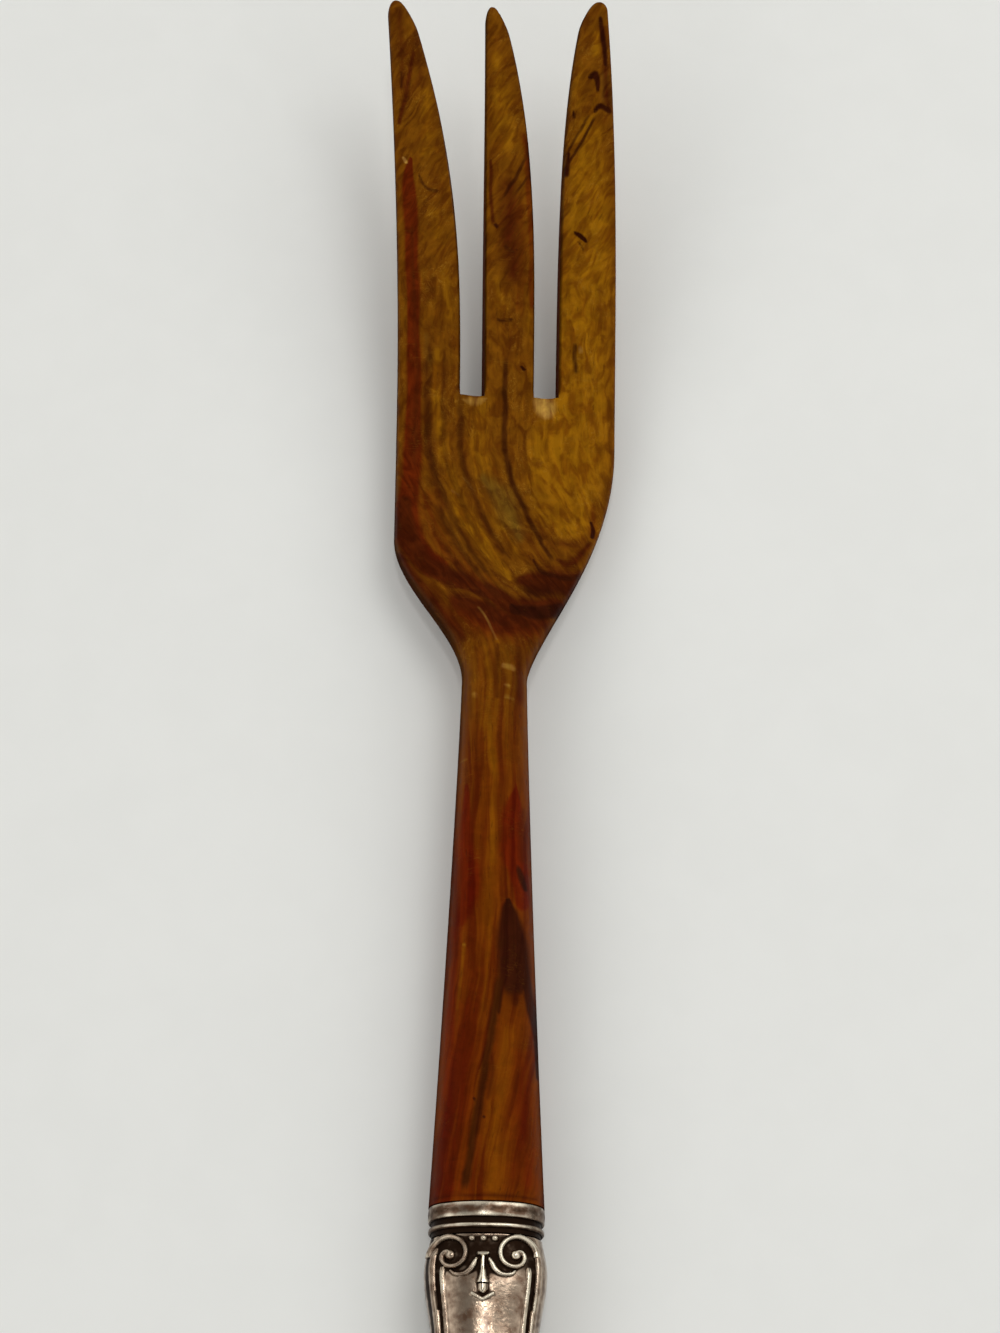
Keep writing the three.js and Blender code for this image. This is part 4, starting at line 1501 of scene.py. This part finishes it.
        Streak(0.75, 0.6, (
            (0.1, 34.4, 0.5), (-0.1, 31.5, 0.6), (0.1, 27.8, 0.7),
            (0.7, 24.5, 0.6), (0.2, 20, 0.75), (0, 14, 0.9),
        )),
        Streak(0.5, 0.7, ((0, 14, 0.9), (-0.3, 8, 1.0), (-0.6, 0, 1.0), (-0.9, -9, 0.6))),
        Streak(0.5, 0.8, ((-1.8, 42, 0.8), (-1.8, 38, 1.0), (-1.5, 33, 0.8))),
        Streak(0.42, 0.5, ((2.6, -9, 0.9), (1.6, -16, 1.3), (0.8, -22, 1.7), (0.8, -30, 2.0))),
        Streak(0.55, 0.45, ((-3.4, 2.6, 0.24), (-3.7, -2.4, 0.3), (-4.2, -6.4, 0.24))),
    ),
    Tone.OLIVE: (
        # Dull middle of the bowl, its left shoulder, and the tips
        Streak(0.8, 0.9, ((-1.8, 70.4, 0.8), (0.4, 68, 1.6), (1.8, 65.2, 1.6), (3.2, 62, 0.8))),
        Streak(0.6, 0.7, ((-12.6, 57, 0.7), (-10.9, 53.6, 1.0), (-8.2, 50, 1.1), (-6, 46.6, 0.8))),
        Streak(0.6, 0.7, ((14.1, 126, 0.7), (14.4, 122.6, 0.7))),
        Streak(0.5, 0.8, ((-9.9, 89.5, 0.5), (-9.6, 86.5, 0.6))),
    ),
}

# Marks that stay on the front, given as the streaks are
MARKS: dict[Tone, tuple[Streak, ...]] = {
    Tone.HEART: (
        Streak(0.8, 0.45, ((-1.8, -18.6, 0.25), (-1.65, -18.8, 0.25))),
        Streak(0.8, 0.45, ((-0.6, -20.7, 0.22), (-0.45, -21, 0.25))),
        Streak(0.8, 0.45, ((9.75, 121.2, 0.22), (9.85, 120.4, 0.26))),
        Streak(1.0, 0.45, ((10.3, 105, 0.22), (11.0, 104.5, 0.34), (11.8, 103.9, 0.26))),
        Streak(0.55, 0.45, ((10.7, 103.7, 0.2), (11.4, 102.7, 0.25))),
        Streak(0.6, 0.45, ((10.4, 89.8, 0.35), (10.3, 88.2, 0.4), (10.7, 86.3, 0.45))),
        Streak(0.9, 0.45, ((3.1, 86.6, 0.22), (3.5, 86.1, 0.25))),
        Streak(0.8, 0.45, ((-0.9, 105.7, 0.3), (-0.6, 105.4, 0.3))),
        Streak(0.9, 0.45, ((13.0, 64.4, 0.22), (13.3, 63.2, 0.3), (13.1, 62, 0.25))),
        Streak(0.7, 0.45, ((7.0, 81.6, 0.22), (7.2, 81, 0.22))),
    ),
    Tone.PALE: (
        # Saw marks under the slots, dents on the neck, chips and scratches
        Streak(0.4, 0.3, ((-5, 81.7, 0.25), (-3.4, 81.2, 0.8), (-1.8, 81.7, 0.25))),
        Streak(0.85, 0.45, ((6.0, 81.8, 1.2), (6.5, 81, 1.4), (6.8, 80, 0.8))),
        Streak(0.45, 0.3, ((1.1, 41.5, 0.5), (1.8, 41.4, 0.6), (2.5, 41.2, 0.55))),
        Streak(0.42, 0.4, ((1.5, 38.4, 0.35), (1.9, 38.3, 0.4))),
        Streak(0.36, 0.4, ((1.5, 36.8, 0.32), (2.5, 36.7, 0.4))),
        Streak(0.42, 0.7, ((-3, 37.6, 0.3), (-2.7, 37.1, 0.4))),
        Streak(0.35, 0.6, ((-4.2, 28.4, 0.25), (-3.6, 28.2, 0.3))),
        Streak(0.4, 0.45, ((-3.5, 2.4, 0.22), (-3.2, 2.1, 0.22))),
        Streak(0.26, 0.45, ((-2.4, 50.3, 0.2), (-1.0, 48.1, 0.24), (0.2, 45.3, 0.22))),
        Streak(0.8, 0.45, ((-13.6, 113.5, 0.22), (-13.3, 113, 0.26))),
        Streak(0.7, 0.45, ((11.1, 89.5, 0.26), (11.2, 88.9, 0.3))),
        Streak(0.3, 0.45, ((-4.8, 70.2, 0.18), (-3.7, 69, 0.22))),
        Streak(0.3, 0.45, ((-3, 68.5, 0.18), (-1.7, 69.3, 0.2))),
        Streak(0.3, 0.45, ((-6.4, 68.4, 0.2), (-5.2, 67.6, 0.24))),
    ),
}


@dataclass(frozen=True)
class Dent:
    """A hollow in the front of the wood, as deep as it says at its middle."""

    x: float
    y: float
    reach_across: float
    reach_along: float
    depth: float

    def depth_at(self, x: Array, y: Array) -> Array:
        """Depth at each place: a bell curve of the distance."""
        away = np.hypot((x - self.x) / self.reach_across, (y - self.y) / self.reach_along)
        return self.depth * np.exp(-(away**2))


DENTS = (
    Dent(-3.5, 82.7, 1.4, 0.9, 0.45),
    Dent(6.4, 82.7, 1.5, 1.9, 0.6),
    Dent(11.0, 104.4, 0.5, 0.35, 0.25),
    Dent(10.5, 88.0, 0.4, 1.5, 0.12),
    Dent(3.3, 86.3, 0.3, 0.3, 0.15),
    Dent(13.1, 62.8, 0.4, 0.7, 0.3),
    Dent(1.8, 41.6, 0.8, 0.5, 0.12),
    Dent(1.7, 38.4, 0.4, 0.4, 0.1),
    Dent(2.0, 36.8, 0.7, 0.35, 0.1),
    Dent(-2.8, 36.9, 0.4, 0.4, 0.08),
    Dent(-13.3, 113.2, 0.4, 0.4, 0.15),
)


@dataclass(frozen=True)
class Edge:
    """One edge of a tine: where it starts beside the slots, where it heads, its bow, and its round end."""

    root: float
    end: float
    bow: float
    rounding: float

    def at(self, y: Array, root_y: float, tip: Pair) -> Array:
        """Places of the edge, drawn in to the tip as an ellipse is.

        Args:
            y: Places along.
            root_y: Where the slots' floors lie.
            tip: Place of the tip.

        Returns:
            Places across.
        """
        tip_x, tip_y = tip
        share = np.clip((y - root_y) / (tip_y - root_y), 0, 1)
        closing = round_end(y, tip_y, self.rounding)
        return lerp(tip_x, lerp(self.root, self.end, share**self.bow), closing)


@dataclass(frozen=True)
class Tine:
    """One tine between two edges."""

    tip: Pair
    left: Edge
    right: Edge

    @property
    def round_length(self) -> float:
        """Length over which the tip closes."""
        return max(self.left.rounding, self.right.rounding)

    def edges(self, y: Array, root_y: float) -> tuple[Array, Array]:
        """The left and right edge at each place along."""
        return self.left.at(y, root_y, self.tip), self.right.at(y, root_y, self.tip)


@dataclass
class CarvedHead:
    """The wooden head in one piece: tenon, shank, neck, bowl and three tines."""

    places: Places
    ferrule: Ferrule
    shank_length: float = 72.5
    bowl_length: float = 41.8
    bottom_from_neck: float = 22.5
    tenon_length: float = 36.0
    tenon_straight: float = 12.0
    tenon_end: float = 0.62
    neck_width: float = 8.75
    shank_flare: float = 1.2
    left_reach: float = 14.2
    right_reach: float = 15.9
    left_shoulder: float = 21.0
    right_shoulder: float = 34.4
    right_skew: float = 0.74
    left_tine_shorter: float = 1.5
    middle_tine_shorter: float = 0.8
    slot_width: float = 3.45
    left_slot: float = -3.9
    right_slot: float = 6.35
    slot_lean: float = -0.022
    slot_lean_middle: float = 1.2
    slot_lean_reach: float = 4.0
    neck_thickness: float = 8.4
    bowl_thickness: float = 6.2
    slot_thickness: float = 4.9
    tip_thickness: float = 2.6
    neck_underside: float = 2.8
    bowl_drop: float = 2.8
    tine_slope: float = math.radians(21)
    bend_length: float = 24.0
    camber: float = 1.8
    twist: float = math.radians(6)
    bowl_power: float = 4.4
    tip_power: float = 2.8
    edge_radius: float = 0.4
    edge_start: float = 1.2
    tine_round_start: float = 14.0
    tine_round_end: float = 4.0
    thinning: float = 1.5
    wave_height: float = 0.05
    wave_length: float = 9.0
    small_wave: float = 0.5
    small_wave_length: float = 4.3
    wave_fade: float = 2.5
    back_waves: float = 0.6
    back_shift: float = 40.0
    rim_fade: float = 1.5
    red_start: float = 16.0
    red_full: float = 26.0
    fray_across: float = 0.14
    fray_along: float = 0.25
    fray_lengths: Pair = (4.1, 5.3)
    fray_stretch: float = 0.5
    streak_slope: float = 0.35
    mark_depth: float = 0.8
    layer_slope: float = 0.6
    low_lean: float = 0.15
    low_lean_end: float = -2.0
    high_lean: float = 0.55
    high_lean_start: float = 98.0
    sweep: tuple[Pair, ...] = (
        (40.0, 16.4),
        (44.0, 16.0),
        (50.0, 13.0),
        (56.0, 8.4),
        (62.0, 4.8),
        (67.6, 2.3),
        (71.0, 0.9),
        (76.0, 0.0),
        (140.0, 0.0),
    )
    tine_columns: int = 34
    slot_columns: int = 8
    wall_rows: int = 6
    shank_rows: int = 118
    bowl_rows: int = 112
    tine_rows: int = 150
    tip_rows: int = 20

    def __post_init__(self) -> None:
        """Works out the places along the head and the three tines."""
        self.y_collar = self.places.collar
        self.y_neck = self.y_collar + self.shank_length
        self.y_bottom = self.y_neck + self.bottom_from_neck
        self.y_slot = self.y_neck + self.bowl_length
        half = self.slot_width / 2
        tip = self.places.tip
        self.left = Tine(
            tip=(-15.15, tip - self.left_tine_shorter),
            left=Edge(root=-self.left_reach, end=-16.5, bow=1.8, rounding=2.2),
            right=Edge(root=self.left_slot - half, end=-13.5, bow=2.75, rounding=4.0),
        )
        self.middle = Tine(
            tip=(-1.7, tip - self.middle_tine_shorter),
            left=Edge(root=self.left_slot + half, end=-2.65, bow=1.0, rounding=2.2),
            right=Edge(root=self.right_slot - half, end=-0.45, bow=3.7, rounding=4.0),
        )
        self.right = Tine(
            tip=(12.95, tip),
            left=Edge(root=self.right_slot + half, end=11.1, bow=4.4, rounding=4.0),
            right=Edge(root=self.right_reach, end=14.1, bow=3.0, rounding=1.3),
        )
        self.thickness = curve_through(
            (
                (self.y_collar, self.ferrule.thickness),
                (self.y_neck, self.neck_thickness),
                (self.y_bottom, self.bowl_thickness),
                (self.y_slot, self.slot_thickness),
                (tip, self.tip_thickness),
            )
        )

    def outline(self, y: Array) -> tuple[Array, Array]:
        """The head's left and right edge, seen from the front, as if it had no slots."""
        flare = np.clip((self.y_neck - y) / self.shank_length, 0, 1) ** self.shank_flare
        shank = lerp(self.neck_width, self.ferrule.width, flare) / 2
        left = -lerp(shank, self.left_reach, ramp(y, self.y_neck, self.y_neck + self.left_shoulder))
        share = np.clip((y - self.y_neck) / self.right_shoulder, 0, 1)
        right = lerp(shank, self.right_reach, smooth(share**self.right_skew))
        beyond = y > self.y_slot
        left = np.where(beyond, self.left.edges(y, self.y_slot)[0], left)
        return left, np.where(beyond, self.right.edges(y, self.y_slot)[1], right)

    def underside(self, y: Array) -> Array:
        """Height of the back along its middle: eased from collar to bowl, then bent up into a slope."""
        shank_low = self.places.axis_height - self.ferrule.thickness / 2
        shank = lerp(shank_low, self.neck_underside, ramp(y, self.y_collar, self.y_neck))
        bowl = shank - self.bowl_drop * ramp(y, self.y_neck, self.y_bottom)
        along = np.maximum(y - self.y_bottom, 0)
        bend = self.bend_length * (1 - np.exp(-along / self.bend_length))
        return bowl + math.tan(self.tine_slope) * (along - bend)

    def middle_height(self, y: Array) -> Array:
        """Height of the line half way through the wood."""
        return self.underside(y) + self.thickness(y) / 2

    def power(self, y: Array) -> Array:
        """Power of the section's oval: round at the shank, and squarer in the bowl."""
        return lerp(self.ferrule.power, self.bowl_power, ramp(y, self.y_neck, self.y_bottom))

    def turn_at(self, x: Array, y: Array) -> Array:
        """The angle at which the section's oval passes x on the front."""
        left, right = self.outline(y)
        across = np.clip((x - (left + right) / 2) * 2 / (right - left), -1, 1)
        return np.arccos(signed_power(across, self.power(y) / 2))

    def section(self, turn: Array, y: Array) -> tuple[Array, Array, Array]:
        """Points of the section as if it had no slots.

        Args:
            turn: Angles from 0 at the right edge to a half turn at the left.
            y: Places along.

        Returns:
            Places across, heights of the middle layer, and how far the faces rise from it.
        """
        left, right = self.outline(y)
        across, rise = oval(turn, 1.0, self.thickness(y) / 2, self.power(y))
        lift = self.camber * ramp(y, self.y_neck, self.y_bottom) * across**2
        x = (left + right) / 2 + (right - left) / 2 * across
        return x, self.middle_height(y) + lift, rise

    def carved(self, x: Array, y: Array, share: Array) -> Array:
        """How far the knife's waves and the dents move the front, fading out towards the edges."""
        small = ripple(x, y, self.small_wave_length, lean=1.0)
        waves = ripple(x, y, self.wave_length) + self.small_wave * small
        dents = sum(dent.depth_at(x, y) for dent in DENTS)
        return (self.wave_height * waves - dents) * smooth(share * self.wave_fade)

    def seated(self, x: Array, y: Array, z: Array) -> tuple[Array, Array, Array]:
        """Turns the head about its middle line, by nothing at the collar and fully from the neck on.

        The back is worn flat where it would reach below the table, and the floors of the slots are set
        a little askew.
        """
        turn = self.twist * ramp(y, self.y_collar, self.y_neck)
        middle = self.middle_height(y)
        up = z - middle
        from_slot = (y - self.y_slot) / self.slot_lean_reach
        lean = self.slot_lean * (x - self.slot_lean_middle) * np.exp(-(from_slot**2))
        turned_z = middle - x * np.sin(turn) + up * np.cos(turn)
        return x * np.cos(turn) + up * np.sin(turn), y - lean, np.maximum(turned_z, 0)

    def add_face(
        self,
        patches: Patchwork,
        x: Array,
        y: Array,
        middle: Array,
        rise: Array,
        near_wall: Array | float = 0.0,
    ) -> tuple[Array, Array]:
        """Adds the front and the back of a stretch of wood.

        Args:
            patches: Where the surface goes.
            x: Places across.
            y: Places along.
            middle: Heights of the middle layer.
            rise: How far the faces rise from it.
            near_wall: 1 beside a slot, falling to 0 away from it.

        Returns:
            Heights of the front and of the back.
        """
        thick = self.thickness(y)
        share = np.clip(2 * rise / thick, 0, 1)
        front = middle + rise + self.carved(x, y, share)
        back = middle - rise + self.back_waves * self.carved(x + self.back_shift, y, share)
        # The rim layer is 1 at the edges and beside the slots, where the wood's finish paints shade and
        # roughens it.
        rim = np.maximum(1 - smooth(share * self.rim_fade), near_wall)
        patches.grid(*self.seated(x, y, front), depth=0.0, rim=rim)
        patches.grid(*self.seated(x, y, back), depth=np.minimum(2 * rise, thick), rim=rim)
        return front, back

    def add_wall(self, patches: Patchwork, x: Array, y: Array, front: Array, back: Array) -> None:
        """Adds a wall from the front to the back along an edge, rows for the depth."""
        share = np.linspace(0, 1, self.wall_rows + 1)[:, None]
        heights = lerp(front[None, :], back[None, :], share)
        level = share * (front - back)[None, :]
        x_grid, y_grid = np.broadcast_to(x, heights.shape), np.broadcast_to(y, heights.shape)
        # Rim 2 marks the slots' walls, which the finish paints in shade.
        patches.grid(*self.seated(x_grid, y_grid, heights), depth=level, rim=2.0)

    def tenon_rings(self, turn: Array) -> tuple[Array, Array, Array, Array]:
        """Rows of the tenon, from a point at its hidden end to the collar's bore.

        Args:
            turn: Angles of the columns.

        Returns:
            Places across, places along, heights of the middle and rises of the faces.
        """
        inset = self.ferrule.bore_inset + self.places.fit_gap
        end = self.y_collar - self.tenon_length
        y = np.array([end, end, self.y_collar - self.tenon_straight, self.y_collar])[:, None]
        size = np.array([0.0, self.tenon_end, 1.0, 1.0])[:, None]
        half_width, half_thick = self.ferrule.width / 2 - inset, self.ferrule.thickness / 2 - inset
        x, rise = oval(turn, half_width * size, half_thick * size, self.ferrule.power)
        return x, y + 0 * x, self.places.axis_height + 0 * x, rise

    def add_body(self, patches: Patchwork) -> None:
        """Adds everything up to the floors of the slots, and the floors themselves."""
        edges = (self.right.left, self.middle.right, self.middle.left, self.left.right)
        walls = np.array([edge.root for edge in edges])
        stops = [0.0, *self.turn_at(walls, np.full(len(walls), self.y_slot)), math.pi]
        counts = (self.tine_columns, self.slot_columns) * 2 + (self.tine_columns,)
        spans = [lerp(a, b, spread(n)) for a, b, n in zip(stops, stops[1:], counts)]
        turn = np.concatenate([span[:-1] for span in spans] + [spans[-1][-1:]])[None, :]
        y = np.concatenate(
            [
                np.linspace(self.y_collar, self.y_neck, self.shank_rows + 1),
                np.linspace(self.y_neck, self.y_slot, self.bowl_rows + 1)[1:],
            ]
        )[:, None]
        x, middle, rise = self.section(turn, y)
        tenon = self.tenon_rings(turn)
        y = y + 0 * x
        whole = [np.concatenate(pair) for pair in zip(tenon, (x, y, middle, rise))]
        front, back = self.add_face(patches, *whole)
        start = np.cumsum((0, *counts))
        for slot in (1, 3):
            columns = slice(start[slot], start[slot + 1] + 1)
            self.add_wall(patches, x[-1, columns], y[-1, columns], front[-1, columns], back[-1, columns])

    def add_tine(self, patches: Patchwork, tine: Tine) -> None:
        """Adds one tine: a strip of the head between two walls that rounds into a tip of its own.

        Args:
            patches: Where the surface goes.
            tine: The tine's edges and tip.
        """
        tip_y = tine.tip[1]
        straight_end = tip_y - tine.round_length
        turn_in = np.linspace(0, math.pi / 2, self.tip_rows + 1)[1:]
        straight = np.linspace(self.y_slot, straight_end, self.tine_rows + 1)
        y = np.concatenate([straight, straight_end + tine.round_length * np.sin(turn_in)])[:, None]
        left, right = tine.edges(y, self.y_slot)
        right_turn, left_turn = self.turn_at(right, y), self.turn_at(left, y)
        turn = lerp(right_turn, left_turn, spread(self.tine_columns)[None, :])
        x, middle, rise = self.section(turn, y)
        own = np.clip(np.abs((2 * x - left - right) / np.maximum(right - left, TINY)), 0, 1)
        thinned = round_end(y, tip_y, self.thinning)
        rounded = self.thickness(y) / 2 * (1 - own**self.tip_power) ** (1 / self.tip_power)
        radius = self.edge_radius * ramp(y, self.y_slot, self.y_slot + self.edge_start)
        to_round = ramp(y, self.y_slot + self.tine_round_start, tip_y - self.tine_round_end)
        near_wall = np.zeros_like(x)
        for wall, is_outer in ((left, tine is self.left), (right, tine is self.right)):
            short = np.clip(radius - np.abs(x - wall), 0, None) * (not is_outer)
            rise = rise - (radius - np.sqrt(np.maximum(radius**2 - short**2, 0)))
            near_wall = np.maximum(near_wall, smooth(short / self.edge_radius))
        rise = lerp(np.maximum(rise, 0), rounded, to_round) * thinned
        y = y + 0 * x
        front, back = self.add_face(patches, x, y, middle, rise, near_wall)
        for column, is_outer in ((0, tine is self.right), (-1, tine is self.left)):
            if not is_outer:
                edge = (x[:, column], y[:, column], front[:, column], back[:, column])
                self.add_wall(patches, *edge)

    def growth_layer(self, x: Array, y: Array, depth: Array) -> Array:
        """Number of the growth layer at each place, in mm across the grain.

        Down the bowl the layers sweep to the right, low on the shank they lean to the left, and on the
        tines they lean to the right.
        """
        sweep = curve_through(self.sweep)(y)
        lean_low = self.low_lean * np.minimum(y - self.low_lean_end, 0)
        lean_high = self.high_lean * np.maximum(y - self.high_lean_start, 0)
        return x - sweep - lean_low - lean_high + self.layer_slope * depth

    def tones(self, x: Array, y: Array, depth: Array) -> dict[str, Array]:
        """How strongly each tone shows at each place: the strongest of its streaks.

        Args:
            x: Places across.
            y: Places along.
            depth: Depth below the front.

        Returns:
            The streaks' fields by the names of their attributes.
        """
        length_across, length_along = self.fray_lengths
        aside = self.fray_across * ripple(x, self.fray_stretch * y, length_across)
        x_frayed = x + aside + self.streak_slope * depth
        y_frayed = y + self.fray_along * ripple(x, y, length_along, lean=2.0)
        front = 1 - smooth(depth / self.mark_depth)
        fields = {tone.value: np.full(x.shape, -1.0) for tone in Tone}
        for groups, shown in ((STREAKS, 1.0), (MARKS, front)):
            for tone, streaks in groups.items():
                here = [streak.field(x_frayed, y_frayed) * shown for streak in streaks]
                fields[tone.value] = np.maximum.reduce([fields[tone.value], *here])
        return fields

    def make(self, wood: bpy.types.Material) -> None:
        """Builds the head and sets it in place."""
        patches = Patchwork()
        self.add_body(patches)
        for tine in (self.left, self.middle, self.right):
            self.add_tine(patches, tine)
        x, y, _ = patches.places().T
        depth = patches.layer("depth")
        low = 1 - ramp(y, self.y_neck - self.red_full, self.y_neck + self.red_start)
        layers = {"layer": self.growth_layer(x, y, depth), "rim": patches.layer("rim"), "low": low}
        piece = patches.build("olive_wood_head", layers | self.tones(x, y, depth))
        set_in_place(piece, wood, "fork_head")


# Stage


@dataclass
class Studio:
    """The pale table, the soft light and the camera at the photograph's angle."""

    target: Triple = (0.0, 43.08, 6.0)
    distance: float = 650.0
    lean_back: float = math.radians(20)
    roll: float = math.radians(0.835)
    focal_px: float = 4805.9
    centre_px: float = 494.64
    sensor: float = 36.0
    table_reach: float = 3000.0
    lamp_place: Triple = (350.0, 300.0, 930.0)
    lamp_size: float = 500.0
    lamp_power: float = 2.0
    glint_place: Triple = (0.0, 68.0, 900.0)
    glint_size: float = 90.0
    glint_power: float = 0.6
    zenith: Colour = (0.25, 0.25, 0.245)
    left_sky: Colour = (1.24, 1.24, 1.225)
    right_sky: Colour = (1.06, 1.06, 1.045)
    far_sky: Colour = (0.74, 0.74, 0.73)
    horizon: float = 0.2
    horizon_span: Pair = (0.1, 0.55)
    zenith_span: Pair = (0.6, 0.97)
    side_reach: float = 0.6
    seen_span: Pair = (0.05, 20.0)

    def camera(self) -> None:
        """Makes the camera: leant back from the vertical, rolled, and aimed beside the middle line."""
        back = Vector((0, -math.sin(self.lean_back), math.cos(self.lean_back)))
        right = Vector((1, 0, 0))
        up = back.cross(right)
        right_rolled = right * math.cos(self.roll) + up * math.sin(self.roll)
        up_rolled = up * math.cos(self.roll) - right * math.sin(self.roll)
        aside = (PHOTO_WIDTH / 2 - self.centre_px) * self.distance / self.focal_px
        place = (Vector(self.target) + back * self.distance + right_rolled * aside) * MM
        data = bpy.data.cameras.new("camera")
        data.sensor_width = self.sensor
        data.lens = self.focal_px * self.sensor / max(PHOTO_WIDTH, PHOTO_HEIGHT)
        data.clip_start, data.clip_end = self.seen_span
        camera = added("camera", data)
        turned = Matrix((right_rolled, up_rolled, back)).transposed()
        camera.matrix_world = Matrix.Translation(place) @ turned.to_4x4()
        bpy.context.scene.camera = camera

    def table(self, material: bpy.types.Material) -> None:
        """Makes the level sheet under the fork."""
        reach = self.table_reach * MM
        mesh = bpy.data.meshes.new("pale_table")
        corners = [(-reach, -reach, 0), (reach, -reach, 0), (reach, reach, 0), (-reach, reach, 0)]
        mesh.from_pydata(corners, [], [(0, 1, 2, 3)])
        mesh.materials.append(material)
        table = added("pale_table", mesh)

    def lamp(self, name: str, place: Triple, size: float, power: float) -> None:
        """Hangs a round lamp, turned to the middle of the fork.

        Args:
            name: Name of the lamp.
            place: Where it hangs.
            size: How wide it is.
            power: Its power in watts.
        """
        data = bpy.data.lights.new(name, "AREA")
        data.shape = "DISK"
        data.size = size * MM
        data.energy = power
        lamp = added(name, data)
        lamp.location = Vector(place) * MM
        lamp.rotation_mode = "QUATERNION"
        lamp.rotation_quaternion = (Vector(self.target) * MM - lamp.location).to_track_quat("-Z", "Y")

    def sky(self) -> None:
        """Lights the scene from half way up on both sides, and more dimly from overhead and from low down."""
        world = bpy.data.worlds.new("soft_sky")
        world.use_nodes = True
        sheet = NodeSheet(world.node_tree)
        background = next(n for n in world.node_tree.nodes if n.type == "BACKGROUND")
        x, _, height = sheet.split(sheet.add("ShaderNodeTexCoord").outputs["Generated"])
        left = sheet.blend(sheet.step(x, -self.side_reach, 0.0), self.left_sky, self.far_sky)
        around = sheet.blend(sheet.step(x, 0.0, self.side_reach), left, self.right_sky)
        colour = sheet.blend(sheet.step(height, *self.zenith_span), around, self.zenith)
        strength = sheet.step(height, *self.horizon_span, low=self.horizon)
        sheet.fill(background, {"Color": colour, "Strength": strength})
        bpy.context.scene.world = world

    def make(self, material: bpy.types.Material) -> None:
        """Sets up everything round the fork."""
        self.camera()
        self.table(material)
        self.lamp("soft_lamp", self.lamp_place, self.lamp_size, self.lamp_power)
        self.lamp("small_lamp", self.glint_place, self.glint_size, self.glint_power)
        self.sky()
        bpy.context.scene.view_settings.view_transform = "Standard"


def main() -> None:
    """Builds the fork's pieces in order, then the stage round it."""
    logging.basicConfig(level=logging.INFO, format="%(name)s: %(message)s")
    effects = SharedEffects.make()
    places = Places.from_frame()
    ferrule = Ferrule(places)
    CarvedHead(places, ferrule).make(WOOD.material(effects))
    ferrule.make(COLLAR_SILVER.material(effects))
    HollowHandle(places, ferrule).make(HANDLE_SILVER.material(effects))
    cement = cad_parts["cement_fill"]
    cement.data.materials.clear()
    cement.data.materials.append(CEMENT.material(effects))
    log.info("cement_fill: keeps its solid")
    Studio().make(TABLE.material(effects))


if __name__ == "__main__":
    main()
